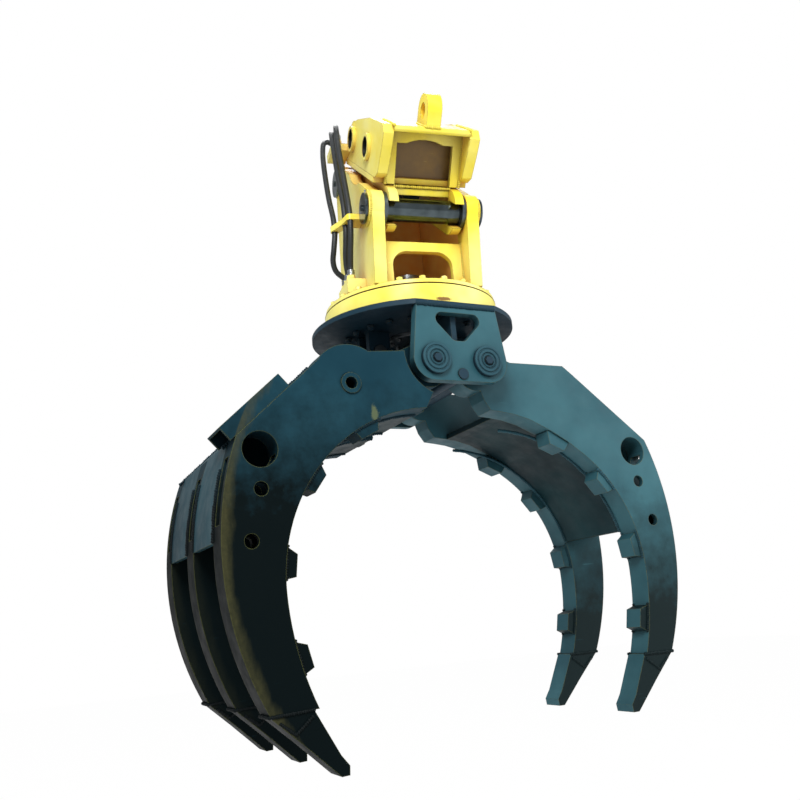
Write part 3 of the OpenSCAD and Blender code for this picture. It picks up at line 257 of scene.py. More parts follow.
        # the walls from 10 to 24 mm behind the face on, within 125 mm of the middle
        across, behind, foot = box
        off = put(t, "ShaderNodeVectorMath", {0: at, 1: foot}, operation="SUBTRACT").outputs[0]
        depth = put(t, "ShaderNodeVectorMath", {0: off, 1: behind}, operation="DOT_PRODUCT")
        side = put(t, "ShaderNodeVectorMath", {0: off, 1: across}, operation="DOT_PRODUCT")
        side = put(t, "ShaderNodeMath", {0: side.outputs["Value"]}, operation="ABSOLUTE")
        sunk = put(t, "ShaderNodeMapRange", {0: depth.outputs["Value"], 1: 0.010, 2: 0.024})
        between = put(t, "ShaderNodeMapRange",
                      {0: side.outputs[0], 1: 0.1245, 2: 0.1255, 3: 1.0, 4: 0.0})
        primed = put(t, "ShaderNodeMath", {0: sunk.outputs[0], 1: between.outputs[0]},
                     operation="MULTIPLY")
        stain = put(t, "ShaderNodeMix", {0: mottle, 6: linear("#4A3512"), 7: linear("#8A6A2C")},
                    data_type="RGBA")
        layers.append((primed.outputs[0], stain.outputs[2]))
    # painted shade and soil in the corners, in the shade tone
    layers.append((corner_shade_and_soil, linear(shade_tone)))
    if lining:
        looks, inwards, start = lining
        facing = put(t, "ShaderNodeVectorMath", {0: face, 1: looks}, operation="DOT_PRODUCT")
        facing = put(t, "ShaderNodeMapRange", {0: facing.outputs["Value"], 1: 0.5, 2: 0.8, 4: 0.95})
        depth = put(t, "ShaderNodeVectorMath", {0: at, 1: inwards}, operation="DOT_PRODUCT")
        enclosed = put(t, "ShaderNodeMapRange",
                       {0: depth.outputs["Value"], 1: start - 0.004, 2: start})
        stained = put(t, "ShaderNodeMath", {0: facing.outputs[0], 1: enclosed.outputs[0]},
                      operation="MULTIPLY")
        stain = put(t, "ShaderNodeMix", {0: mottle, 6: linear("#F79A44"), 7: linear("#FFD288")},
                    data_type="RGBA")
        layers.append((stained.outputs[0], stain.outputs[2]))
    layers += [(scuff, linear(faded)), (worn, linear(under))]
    for place, half, code in marks:
        off = put(t, "ShaderNodeVectorMath", {0: at, 1: place}, operation="SUBTRACT").outputs[0]
        off = put(t, "ShaderNodeVectorMath", {0: off, 1: half}, operation="DIVIDE").outputs[0]
        off = put(t, "ShaderNodeVectorMath", {0: off}, operation="LENGTH").outputs["Value"]
        ragged = put(t, "ShaderNodeMath", {0: flecks, 1: 1.6, 2: off}, operation="MULTIPLY_ADD")
        scraped = put(t, "ShaderNodeMapRange",
                      {0: ragged.outputs[0], 1: 1.35, 2: 1.75, 3: 0.9, 4: 0.0})
        layers.append((scraped.outputs[0], linear(code)))
    tone = linear(coat)
    for share, colour in layers:
        tone = put(t, "ShaderNodeMix", {0: share, 6: tone, 7: colour}, data_type="RGBA").outputs[2]

    dull = put(t, "ShaderNodeMapRange",
               {0: mottle, 1: 0.3, 2: 0.7, 3: rough - 0.06, 4: rough + 0.14}).outputs[0]
    dull = put(t, "ShaderNodeMath", {0: dull, 1: worn}, operation="MAXIMUM").outputs[0]
    dull = put(t, "ShaderNodeMath", {0: dull, 1: 0.82}, operation="MINIMUM").outputs[0]
    # orange peel of 2 mm over the mottle, with the chips sunk into it
    peel = put(t, "ShaderNodeTexNoise", {"Vector": at, "Scale": 420.0, "Detail": 2.0}).outputs["Fac"]
    height = put(t, "ShaderNodeMath", {0: peel, 1: 0.12, 2: mottle}, operation="MULTIPLY_ADD")
    height = put(t, "ShaderNodeMath", {0: height.outputs[0], 1: worn}, operation="SUBTRACT")
    bump = put(t, "ShaderNodeBump", {"Strength": 0.22, "Distance": 0.0012,
                                     "Height": height.outputs[0], "Normal": soft})
    skin = put(t, "ShaderNodeBsdfPrincipled", {"Base Color": tone, "Roughness": dull,
                                               "Normal": bump.outputs[0], "Specular IOR Level": sheen})
    put(t, "ShaderNodeOutputMaterial", {0: skin.outputs[0]})
    return made


def dress(names, material):
    """Gives CAD nodes a material."""
    for name in names:
        slots = nodes[name].data.materials
        slots.clear()
        slots.append(material)


# Where the pieces are measured from: the middle of the disc's underside, the head that is slewed
# above it, and the hitch that is tilted about the head's front pin.
SLEW_REST = -10
FRONT_PIN_Y = -255
FRONT_PIN_Z = 433
HITCH_TILT = math.radians(38)
disc_low, disc_high = (Vector(v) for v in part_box("turntable_disc"))
TABLE = Matrix.Translation(((disc_low.x + disc_high.x) / 2, (disc_low.y + disc_high.y) / 2, disc_low.z))
HEAD = TABLE @ Matrix.Rotation(math.radians(SLEW_REST), 4, "Z")
HITCH = (HEAD @ Matrix.Translation((0, FRONT_PIN_Y / 1000, FRONT_PIN_Z / 1000))
         @ Matrix.Rotation(HITCH_TILT, 4, "X"))
YELLOW, PALE_YELLOW, OCHRE, PRIMER = "#EBD733", "#F7F08A", "#BE7C2C", "#7A4A22"
RING_SCRAPE = ((-0.0284, -0.3225, -0.8355), (0.034, 0.03, 0.010), "#6E3B1A")
yellow = enamel("yellow_enamel", YELLOW, PALE_YELLOW, OCHRE, PRIMER, chip=0.42, rough=0.34, hollow_shade=0.85,
                shade_and_soil=0.45, marks=[RING_SCRAPE])
dress(["base_plate", "ring_housing", "housing_bolts", "head_ear_left", "head_front_plate",
       "hitch_cheek_left", "hitch_cheek_right", "hitch_deck", "hitch_lifting_eye", "hose_clamp",
       "hose_blocks", "hitch_bushes"], yellow)

# The front box's face leans by about six degrees, from its foot 17 and 55 mm from the front pin.
LEAN = math.atan2(235, 25)
BOX_FOOT = (0, 0.017, 0.055)
box_walls = (tuple(HITCH.to_3x3() @ Vector((1, 0, 0))),
             tuple(HITCH.to_3x3() @ Vector((0, math.sin(LEAN), -math.cos(LEAN)))),
             tuple(HITCH @ Vector(BOX_FOOT)))
# the box's corners and hollows take a browner painted shade
boxed_yellow = enamel("primed_box_enamel", YELLOW, PALE_YELLOW, "#5E3F14", PRIMER, chip=0.42, rough=0.34,
                      hollow_shade=0.7, shade_and_soil=0.6, box=box_walls)
dress(["hitch_front_box"], boxed_yellow)

# Two walls show through the head's openings: the rear plate's front and the right ear's inside.
# Rust and oil stain them from the front plate's back inwards.
FRONT_PLATE_BACK = -193
inwards = HEAD.to_3x3() @ Vector((0, 1, 0))
hollow_start = inwards.dot(HEAD @ Vector((0, FRONT_PLATE_BACK / 1000, 0)))
for name, looks in (("head_rear_plate", (0, -1, 0)), ("head_ear_right", (-1, 0, 0))):
    stained_wall = (tuple(HEAD.to_3x3() @ Vector(looks)), tuple(inwards), hollow_start)
    dress([name], enamel("stained_" + name, YELLOW, PALE_YELLOW, OCHRE, PRIMER, chip=0.42, rough=0.34,
                         hollow_shade=0.85, shade_and_soil=0.45, lining=stained_wall))


# Jaws and hinge plates. Wear plate, sprayed dark teal; the paint is darker towards the tips, and
# bark has rubbed its outer edges to an olive brown. The left jaw, its back plates, both palm plates,
# the disc and the parts round it take darker copies of the teal as painted shade.
HINGE_X = 104.6
HINGE_Z = -202
LEFT_REST = 3.4
BACK_R = 1000
BACK_CENTRE = (832 - BACK_R, -640)
RIGHT = TABLE @ Matrix.Translation((HINGE_X / 1000, 0, HINGE_Z / 1000))
LEFT = (TABLE @ Matrix.Translation((-HINGE_X / 1000, 0, HINGE_Z / 1000))
        @ Matrix.Scale(-1, 4, (1, 0, 0)) @ Matrix.Rotation(math.radians(LEFT_REST), 4, "Y"))
OLIVE, BARE_OLIVE, PALM_OLIVE = "#5C5C3A", "#565A34", "#4A4C30"
# each jaw's colour towards the bottom, and the heights between which the paint turns to it
LEFT_LOW_TONE = ("#030C0E", -0.95, -1.38)
RIGHT_LOW_TONE = ("#081A1C", -1.30, -1.75)
TINE_SCRAPE = ((-0.380, -0.405, -1.300), (0.016, 0.02, 0.034), "#505A42")
left_edge = (tuple(LEFT @ Vector((BACK_CENTRE[0] / 1000, 0, BACK_CENTRE[1] / 1000))), BACK_R / 1000)
teal = enamel("teal_enamel", "#224852", "#36616A", "#06141A", OLIVE, chip=0.45, rough=0.46, sheen=0.16,
              hollow_shade=0.8, low=RIGHT_LOW_TONE, lighter_facing=(-1.0, 0.0, 0.0))
# The left jaw takes a darker copy of the teal as painted shade, with its real rubbed edge and scrape over
# it.
shaded_teal = enamel("shaded_teal_enamel", "#10303C", "#1B3D49", "#040C10", BARE_OLIVE, chip=0.58, rough=0.52,
                   sheen=0.05, hollow_shade=0.7, low=LEFT_LOW_TONE, rub=left_edge, marks=[TINE_SCRAPE])
# The disc, web, lugs, hinge pins, motor, barrels and ring bolts take the darkest copy of the teal as
# painted shade.
shaded_black_teal = enamel("shaded_black_teal_enamel", "#0F2B3A", "#183644", "#05090C", "#33342A", chip=0.3, rough=0.5,
                    sheen=0.2)
# The palm plates take a much darker copy of the teal as painted shade where they face down.
palm_shade_teal = enamel("palm_shade_enamel", "#061D23", "#0D2F34", "#03080A", PALM_OLIVE, chip=0.4, rough=0.5,
                   sheen=0.12)
# The left jaw's back plates take their own darker copy of the teal as painted shade.
back_shade_teal = enamel("back_shade_enamel", "#19353F", "#294A54", "#0A1A20", BARE_OLIVE, chip=0.5, rough=0.48,
                   sheen=0.1)
jaw_nodes = [n for n in nodes if "cylinder" not in n]
dress([n for n in jaw_nodes if n.startswith("right_")] + ["hinge_plate_front", "hinge_plate_rear"], teal)
dress([n for n in jaw_nodes if n.startswith("left_")], shaded_teal)
dress(["right_palm", "left_palm"], palm_shade_teal)
dress(["left_back"], back_shade_teal)
dress(["hinge_pin_left", "hinge_pin_right", "turntable_disc", "hinge_web", "cylinder_lugs", "slew_motor",
       "hitch_lock_barrel", "left_cylinder_barrel", "right_cylinder_barrel"], shaded_black_teal)


# Pins, bearing parts and rods. Turned steel, darkened with grease, with fine turning marks. The
# front pin is oiled and darker, and the cylinders' rods are hard chromed.
def turned(name, bright, dark, rough):
    """Turned steel. It gives tight bright highlights, broken by smears of grease."""
    made, t = blank(name)
    at = put(t, "ShaderNodeTexCoord").outputs["Object"]
    # grease in smears of 45 mm, and turning marks drawn 4 mm apart so that they show
    smear = put(t, "ShaderNodeTexNoise",
                {"Vector": at, "Scale": 22.0, "Detail": 5.0, "Roughness": 0.6}).outputs["Fac"]
    fine = put(t, "ShaderNodeTexNoise", {"Vector": at, "Scale": 260.0, "Detail": 3.0})
    soft = put(t, "ShaderNodeBevel", {"Radius": 0.003}, samples=4)
    tone = put(t, "ShaderNodeMix", {0: smear, 6: linear(dark), 7: linear(bright)}, data_type="RGBA")
    dull = put(t, "ShaderNodeMapRange", {0: smear, 1: 0.3, 2: 0.7, 3: rough + 0.12, 4: rough})
    bump = put(t, "ShaderNodeBump", {"Strength": 0.15, "Distance": 0.0005,
                                     "Height": fine.outputs["Fac"], "Normal": soft.outputs[0]})
    skin = put(t, "ShaderNodeBsdfPrincipled", {"Base Color": tone.outputs[2], "Metallic": 1.0,
                                               "Roughness": dull.outputs[0], "Normal": bump.outputs[0]})
    put(t, "ShaderNodeOutputMaterial", {0: skin.outputs[0]})
    return made


bright_steel = turned("bright_steel", "#B4B9BC", "#6A7074", 0.25)
dress(["front_pin"], turned("oiled_steel", "#6C787C", "#12181A", 0.13))
dress(["rear_pin", "pin_collars", "cylinder_base_pins", "right_cylinder_pin", "hitch_lock_jaw"],
      turned("turned_steel", "#7A848A", "#2A3236", 0.34))
dress(["bearing_outer_ring", "gear_ring", "bearing_balls", "pinion", "union_stator", "union_rotor"],
      bright_steel)
dress(["left_cylinder_rod", "right_cylinder_rod"], turned("chromed_steel", "#D6D9DC", "#B2B6BA", 0.10))


# Hoses. Black rubber over wire braid, smooth outside, each one crimped into steel ferrules at its
# ends. They run from a bulkhead on the hitch down to a port block on the ear.
MM = Matrix.Scale(0.001, 4)
SHARP_FROM = math.radians(38)


def keep(name, mesh, material, body):
    """Makes a mesh a finished piece with smooth faces between its sharp edges, riding on a body."""
    made = bpy.data.objects.new(name, mesh)
    bpy.context.scene.collection.objects.link(made)
    if material.name not in [m.name for m in mesh.materials if m]:
        mesh.materials.clear()
        mesh.materials.append(material)
    mesh.polygons.foreach_set("use_smooth", [True] * len(mesh.polygons))
    mesh.set_sharp_from_angle(angle=SHARP_FROM)
    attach(made, body)
    return made


def shut(bm, name):
    """Merges doubles, turns the faces outwards and gives the mesh."""
    bmesh.ops.remove_doubles(bm, verts=bm.verts, dist=1e-6)
    bmesh.ops.recalc_face_normals(bm, faces=bm.faces)
    mesh = bpy.data.meshes.new(name)
    bm.to_mesh(mesh)
    bm.free()
    return mesh


def loft(bm, rings, closed=False):
    """Joins loops of points into a tube, with its ends shut unless the tube is a closed ring."""
    made = [[bm.verts.new(p) for p in ring] for ring in rings]
    n = len(made[0])
    pairs = list(zip(made, made[1:])) + ([(made[-1], made[0])] if closed else [])
    for one, two in pairs:
        for k in range(n):
            bm.faces.new((one[k], one[(k + 1) % n], two[(k + 1) % n], two[k]))
    if not closed:
        bm.faces.new(made[0])
        bm.faces.new(made[-1])


def angles(steps):
    """The angles of a full turn in even steps."""
    return [math.tau * k / steps for k in range(steps)]


def smooth_path(points, steps):
    """A Catmull-Rom curve through the points."""
    p = [Vector(v) for v in points]
    p = [2 * p[0] - p[1]] + p + [2 * p[-1] - p[-2]]
    out = []
    for a, b, c, d in zip(p, p[1:], p[2:], p[3:]):
        for k in range(steps):
            s = k / steps
            out.append(0.5 * (2 * b + (c - a) * s + (2 * a - 5 * b + 4 * c - d) * s * s
                              + (3 * b - a - 3 * c + d) * s ** 3))
    return out + [p[-2]]


def tube(bm, path, radius, place, sides=18):
    """Sweeps a circle along a path without twist."""
    side = (path[1] - path[0]).orthogonal().normalized()
    rings = []
    for i, point in enumerate(path):
        along = (path[min(i + 1, len(path) - 1)] - path[max(i - 1, 0)]).normalized()
        side = (side - along * side.dot(along)).normalized()
        other = along.cross(side)
        rings.append([place @ (point + radius * (side * math.cos(a) + other * math.sin(a)))
                      for a in angles(sides)])
    loft(bm, rings)


rubber, tree = blank("hose_rubber")
at = put(tree, "ShaderNodeTexCoord").outputs["Object"]
# dust in blots of 30 mm, over cloth wrap marks 10 mm apart
dust = put(tree, "ShaderNodeTexNoise", {"Vector": at, "Scale": 30.0, "Detail": 5.0})
wrap = put(tree, "ShaderNodeTexWave", {"Vector": at, "Scale": 32.0, "Distortion": 1.0},
           bands_direction="Z")
tone = put(tree, "ShaderNodeMix", {0: dust.outputs["Fac"], 6: linear("#0B0E10"), 7: linear("#23292C")},
           data_type="RGBA")
bump = put(tree, "ShaderNodeBump", {"Strength": 0.25, "Distance": 0.0006, "Height": wrap.outputs["Fac"]})
skin = put(tree, "ShaderNodeBsdfPrincipled",
           {"Base Color": tone.outputs[2], "Roughness": 0.5, "Normal": bump.outputs[0]})
put(tree, "ShaderNodeOutputMaterial", {0: skin.outputs[0]})

HOSE_R = 11
HOSE_STEPS = 6
ROUTES = {
    "hose_front": [(-236, 60, 912), (-236, 60, 934), (-243, 40, 950), (-250, 14, 946), (-256, -10, 915),
                   (-260, -34, 860), (-262, -62, 790), (-263, -90, 715), (-264, -118, 640),
                   (-264, -144, 565), (-264, -165, 500), (-264, -175, 455), (-264, -176, 400),
                   (-264, -166, 350), (-264, -148, 308), (-263, -132, 276), (-262, -120, 246),
                   (-262, -120, 214)],
    "hose_middle": [(-236, 100, 912), (-236, 100, 936), (-248, 90, 953), (-258, 70, 950), (-264, 44, 925),
                    (-268, 16, 870), (-271, -14, 800), (-273, -44, 725), (-274, -74, 650),
                    (-274, -102, 575), (-274, -124, 510), (-274, -133, 455), (-274, -134, 400),
                    (-274, -120, 350), (-273, -98, 306), (-268, -78, 274), (-262, -68, 244),
                    (-262, -68, 214)],
    "hose_rear": [(-236, 140, 912), (-236, 140, 934), (-252, 142, 950), (-270, 136, 948), (-286, 122, 924),
                  (-296, 96, 860), (-301, 68, 790), (-303, 42, 720), (-304, 16, 650), (-304, -12, 580),
                  (-304, -54, 500), (-304, -69, 450), (-304, -70, 410), (-310, -62, 350),
                  (-312, -42, 306), (-298, -24, 272), (-262, -16, 242), (-262, -16, 214)],
}
dress(ROUTES, rubber)
for name, route in ROUTES.items():
    bm = bmesh.new()
    tube(bm, smooth_path(route, HOSE_STEPS), HOSE_R, HEAD @ MM)
    hose = keep(name + "_rubber", shut(bm, name + "_rubber"), rubber, "head")
    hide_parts(name)


# Hose ferrules. Turned steel sleeves on the six hose ends, with rings pressed into them by the
# crimping dies.
FERRULE = [(0.4, 0), (13.5, 0), (14.5, 1), (14.5, 5), (13.6, 6), (13.6, 9), (14.5, 10), (14.5, 14),
           (13.6, 15), (13.6, 18), (14.5, 19), (14.5, 22), (12, 24), (11.2, 24), (0.4, 24)]


def lathe(bm, profile, place, steps, closed=False):
    """Turns a profile of (radius, height) in millimetres about the z axis of a place."""
    loft(bm, [[place @ Vector((r * math.cos(a), r * math.sin(a), h)) for a in angles(steps)]
              for r, h in profile], closed)


bm = bmesh.new()
for route in ROUTES.values():
    for end in (route[0], route[-1]):
        lathe(bm, FERRULE, HEAD @ MM @ Matrix.Translation(end), 24)
keep("hose_ferrules", shut(bm, "hose_ferrules"), bright_steel, "head")


# Welds of the head, hitch and turntable. Fillet beads laid by hand along the joints and painted
# over, a row of ripples a few millimetres long. Each is a squashed ball set along the joint's line.
def node_group(name, inputs, output):
    """An empty Geometry Nodes tree with named inputs and one output."""
    made = bpy.data.node_groups.new(name, "GeometryNodeTree")
    for title, kind in inputs.items():
        made.interface.new_socket(title, in_out="INPUT", socket_type="NodeSocket" + kind)
    made.interface.new_socket(output, in_out="OUTPUT", socket_type="NodeSocketGeometry")
    return made


def grow(name, tree, mesh, values):
    """Runs a Geometry Nodes tree on a mesh and gives its result as a plain mesh."""
    seed = bpy.data.objects.new(name + "_seed", mesh)
    bpy.context.scene.collection.objects.link(seed)
    tool = seed.modifiers.new("grow", "NODES")
    tool.node_group = tree
    for item in tree.interface.items_tree:
        if item.in_out == "INPUT" and item.name in values:
            tool[item.identifier] = values[item.name]
    found = bpy.context.evaluated_depsgraph_get()
    made = bpy.data.meshes.new_from_object(seed.evaluated_get(found), depsgraph=found)
    seed.modifiers.remove(tool)
    bpy.data.objects.remove(seed)
    return made


BEAD_SQUASH = 0.72
BEAD_SMALLEST, BEAD_LARGEST = 0.86, 1.14
BEAD_SEED = 7
bead_tree = node_group("weld_bead", {"Lines": "Geometry", "Bead radius": "Float", "Pitch": "Float",
                                     "Finish": "Material"}, "Beads")
given = put(bead_tree, "NodeGroupInput").outputs
line = put(bead_tree, "GeometryNodeMeshToCurve", {0: given["Lines"]})
spots = put(bead_tree, "GeometryNodeCurveToPoints", {"Curve": line.outputs[0], "Length": given["Pitch"]},
            mode="LENGTH").outputs
ball = put(bead_tree, "GeometryNodeMeshIcoSphere", {"Radius": given["Bead radius"], "Subdivisions": 2})
ripple = put(bead_tree, "GeometryNodeTransform",
             {"Geometry": ball.outputs["Mesh"], "Scale": (1.0, 1.0, BEAD_SQUASH)})
uneven = put(bead_tree, "FunctionNodeRandomValue",
             {2: BEAD_SMALLEST, 3: BEAD_LARGEST, "Seed": BEAD_SEED})
row = put(bead_tree, "GeometryNodeInstanceOnPoints",
          {"Points": spots["Points"], "Instance": ripple.outputs[0],
           "Rotation": spots["Rotation"], "Scale": uneven.outputs[1]})
real = put(bead_tree, "GeometryNodeRealizeInstances", {0: row.outputs[0]})
coated = put(bead_tree, "GeometryNodeSetMaterial",
             {"Geometry": real.outputs[0], "Material": given["Finish"]})
put(bead_tree, "NodeGroupOutput", {0: coated.outputs[0]})


def weld(name, place, lines, material, body, radius, pitch):
    """Lays beads along lines measured from a place, with their radius and pitch, in millimetres."""
    points, edges = [], []
    for path in lines:
        start = len(points)
        points += [(place @ MM) @ Vector(v) for v in path]
        edges += [(i, i + 1) for i in range(start, len(points) - 1)]
    mesh = bpy.data.meshes.new(name)
    mesh.from_pydata(points, edges, [])
    values = {"Bead radius": radius / 1000, "Pitch": pitch / 1000, "Finish": material}
    keep(name, grow(name, bead_tree, mesh, values), material, body)


SIDES = (-1, 1)
NO_CHIPS = -1.0
yellow_weld = enamel("yellow_weld", "#D8C22C", "#EBDF66", "#6E4618", PRIMER, chip=NO_CHIPS, rough=0.4,
                     hollow_shade=0.6)
teal_weld = enamel("teal_weld", "#1E3F4A", "#2E5560", "#06141A", OLIVE, chip=NO_CHIPS, rough=0.5,
                   sheen=0.16, low=RIGHT_LOW_TONE)
# the left jaw's and turntable's welds take the left jaw's darker teal as painted shade
shaded_teal_weld = enamel("shaded_teal_weld", "#0E2630", "#183642", "#040C10", PALM_OLIVE, chip=NO_CHIPS, rough=0.5,
                   sheen=0.12, low=LEFT_LOW_TONE)

# head: the ears' feet inside and outside, the front plate's sides and foot, the rear plate's
# corners, and a ring round each pin's boss
BASE_TOP = 121
EAR_IN = 163
EAR_OUT = 211
EAR_FOOT_FRONT = -270
EAR_FOOT_HALF = 255
FRONT_PLATE_FACE = -218
FRONT_PLATE_TOP = 320
WINDOW_HALF = 119
REAR_PLATE_BACK = 281
REAR_PLATE_TOP = 690
BOSS_R = 62
PIN_PITCH = 560
REAR_PIN = (FRONT_PIN_Y + PIN_PITCH * math.cos(HITCH_TILT), FRONT_PIN_Z + PIN_PITCH * math.sin(HITCH_TILT))
head_lines = [[(s * EAR_IN, front, BASE_TOP), (s * EAR_IN, rear, BASE_TOP)] for s in SIDES
              for front, rear in ((EAR_FOOT_FRONT, FRONT_PLATE_FACE), (FRONT_PLATE_BACK, EAR_FOOT_HALF))]
head_lines += [[(s * EAR_OUT, y, BASE_TOP) for y in (-EAR_FOOT_HALF, EAR_FOOT_HALF)] for s in SIDES]
head_lines += [[(s * EAR_IN, FRONT_PLATE_FACE, z) for z in (BASE_TOP, FRONT_PLATE_TOP)] for s in SIDES]
head_lines += [[(s * x, FRONT_PLATE_FACE, BASE_TOP) for x in (WINDOW_HALF, EAR_IN)] for s in SIDES]
head_lines += [[(s * EAR_IN, REAR_PLATE_BACK, z) for z in (BASE_TOP, REAR_PLATE_TOP)] for s in SIDES]
head_lines += [[(s * EAR_OUT, y + BOSS_R * math.cos(a), z + BOSS_R * math.sin(a))
                for a in angles(40) + [math.tau]]
               for s in SIDES for y, z in ((FRONT_PIN_Y, FRONT_PIN_Z), REAR_PIN)]
weld("head_welds", HEAD, head_lines, yellow_weld, "head", 6.5, 7.5)

# hitch: the front box's sides, upper edge, top and foot, and all round the lifting eye's foot
HITCH_HALF = 147
BOX_TOP = 314
BOX_FACE = ((21, 95), (42, 290))
BOX_SIDE = (-44, 126)
OPENING_HALF = 111
OPENING_FOOT = (20, 86)
EYE_HALF = 28
EYE_FRONT = -42
EYE_REAR = 82
hitch_lines = [[(s * HITCH_HALF, *point) for point in BOX_FACE] for s in SIDES]
hitch_lines += [[(s * HITCH_HALF, *BOX_FACE[1]) for s in SIDES]]
hitch_lines += [[(s * HITCH_HALF, y, BOX_TOP) for y in BOX_SIDE] for s in SIDES]
hitch_lines += [[(-EYE_HALF, EYE_FRONT, BOX_TOP), (-EYE_HALF, EYE_REAR, BOX_TOP),
                 (EYE_HALF, EYE_REAR, BOX_TOP), (EYE_HALF, EYE_FRONT, BOX_TOP),
                 (-EYE_HALF, EYE_FRONT, BOX_TOP)]]
hitch_lines += [[(s * OPENING_HALF, *OPENING_FOOT) for s in SIDES]]
weld("hitch_welds", HITCH, hitch_lines, yellow_weld, "head", 6.5, 7.5)

# turntable: the hinge plates' feet on both faces, all round the cylinders' lugs, and both sides of
# the web between the plates
PLATE_FACES = (-365, -330, 330, 365)
PLATE_FOOT_HALF = 158
LUG_OUT = 70
LUG_HALF = 44
LUG_FACES = (32, 60)
WEB_HALF = 11
WEB_ENDS = (97, 328)
quarters = [(s, f) for s in SIDES for f in SIDES]
table_lines = [[(s * PLATE_FOOT_HALF, y, 0) for s in SIDES] for y in PLATE_FACES]
table_lines += [[(s * (HINGE_X + LUG_OUT + q * LUG_HALF), f * y, 0) for y in LUG_FACES]
                for s, f in quarters for q in SIDES]
table_lines += [[(s * (HINGE_X + LUG_OUT + q * LUG_HALF), f * y, 0) for q in SIDES]
                for s, f in quarters for y in LUG_FACES]
table_lines += [[(s * WEB_HALF, f * y, 0) for y in WEB_ENDS] for s, f in quarters]
weld("turntable_welds", TABLE, table_lines, shaded_teal_weld, "turntable", 6.5, 7.5)


# Jaw welds. Longer fillets along the palm plates, the back plates and the tines' inner edges, and
# beads down both sides of the gripping teeth. They are painted over with the jaws.
PALM_R = 550
PALM_T = 20
CLAW_R = 930
RIGHT_PALM = (118, -760)
LEFT_PALM = (98, -742)
RIGHT_TINES = (-229, 229)
LEFT_TINES = (-376, 0, 376)
# the tines' faces that the plates meet
RIGHT_FACES = (-181, 181)
LEFT_FACES = (-328, -48, 48, 328)
# where the back plate's slope begins on each jaw, and where it ends at the elbow
RIGHT_SLOPE = (436, 2)
LEFT_SLOPE = (470, -25)
ELBOW = (775, -277)
# degrees along each arc: the palm plate, the tine's inner edge, the back plate
PALM_FROM = 16
PALM_TO = 62
RIGHT_EDGE_TO = 88
LEFT_EDGE_TO = 90
BACK_FROM = 4.5
BACK_TO = 17
# degrees of each tooth's middle, and half of what it spans
UPPER_TEETH = (66, 39, 9.5)
CLAW_TOOTH = -11.5
UPPER_SPAN = 5.2
CLAW_SPAN = 3.1
TOOTH_SIDE = 41


def arc(centre, radius, a0, a1, y, steps=24):
    """Points of an arc in a jaw's u and z at a distance y along the hinge line."""
    turns = [math.radians(a0 + (a1 - a0) * k / steps) for k in range(steps + 1)]
    return [(centre[0] + radius * math.cos(a), y, centre[1] + radius * math.sin(a)) for a in turns]


def tooth_beads(centre, tines, upper):
    """Beads down both sides of each gripping tooth on the tines' inner edges."""
    claw = (centre[0] + PALM_R - CLAW_R, centre[1])
    sides = [y + f * TOOTH_SIDE for y in tines for f in SIDES]
    beads = [arc(centre, PALM_R - 1, a - UPPER_SPAN, a + UPPER_SPAN, y, 6) for a in upper for y in sides]
    return beads + [arc(claw, CLAW_R - 1, CLAW_TOOTH - CLAW_SPAN, CLAW_TOOTH + CLAW_SPAN, y, 6)
                    for y in sides]


right_lines = [arc(RIGHT_PALM, PALM_R + PALM_T, PALM_FROM, PALM_TO, y) for y in RIGHT_FACES]
right_lines += [arc(RIGHT_PALM, PALM_R - 1, PALM_FROM, RIGHT_EDGE_TO, y) for y in RIGHT_FACES]
right_lines += [[(u, y, z) for u, z in (RIGHT_SLOPE, ELBOW)] for y in RIGHT_FACES]
right_lines += [arc(BACK_CENTRE, BACK_R + 1, BACK_FROM, BACK_TO, y, 12) for y in RIGHT_FACES]
right_lines += tooth_beads(RIGHT_PALM, RIGHT_TINES, UPPER_TEETH[1:])
weld("right_jaw_welds", RIGHT, right_lines, teal_weld, "right_jaw", 7.0, 8.0)
left_lines = [arc(LEFT_PALM, PALM_R - 1, PALM_FROM, LEFT_EDGE_TO, y) for y in LEFT_FACES]
left_lines += [arc(BACK_CENTRE, BACK_R + 1, BACK_FROM, BACK_TO, y, 12) for y in LEFT_FACES]
left_lines += [[(u, y, z) for u, z in (LEFT_SLOPE, ELBOW)] for y in (LEFT_FACES[0], LEFT_FACES[-1])]
left_lines += tooth_beads(LEFT_PALM, (LEFT_TINES[0], LEFT_TINES[-1]), UPPER_TEETH)
left_lines += tooth_beads(LEFT_PALM, (LEFT_TINES[1],), UPPER_TEETH[1:])
weld("left_jaw_welds", LEFT, left_lines, shaded_teal_weld, "left_jaw", 7.0, 8.0)


# Tip seams. Each cast wedge is welded all round to its tine: a V run in from both sides and a
# straight bead across the faces.
SEAM_Z = -1074
SEAM_IN = 603
SEAM_OUT = 736
TINE_HALF = 48
# the V's points, each an outward distance and a height from the seam
V_RUN = ((610, -18), (664, -58), (706, -22))


def tip_lines(tines):
    """The seams of the tips on tines at distances along the hinge line."""
    sides = [(y, f) for y in tines for f in SIDES]
    lines = [[(u, y + f * (TINE_HALF - 1), SEAM_Z) for u in (SEAM_IN, SEAM_OUT)] for y, f in sides]
    lines += [[(u, y + f * (TINE_HALF - 2), SEAM_Z + rise) for u, rise in V_RUN] for y, f in sides]
    return lines + [[(SEAM_OUT + 1, y + f * (TINE_HALF - 2), SEAM_Z) for f in SIDES] for y in tines]


weld("right_tip_welds", RIGHT, tip_lines(RIGHT_TINES), teal_weld, "right_jaw", 6.0, 7.0)
weld("left_tip_welds", LEFT, tip_lines(LEFT_TINES), shaded_teal_weld, "left_jaw", 6.0, 7.0)


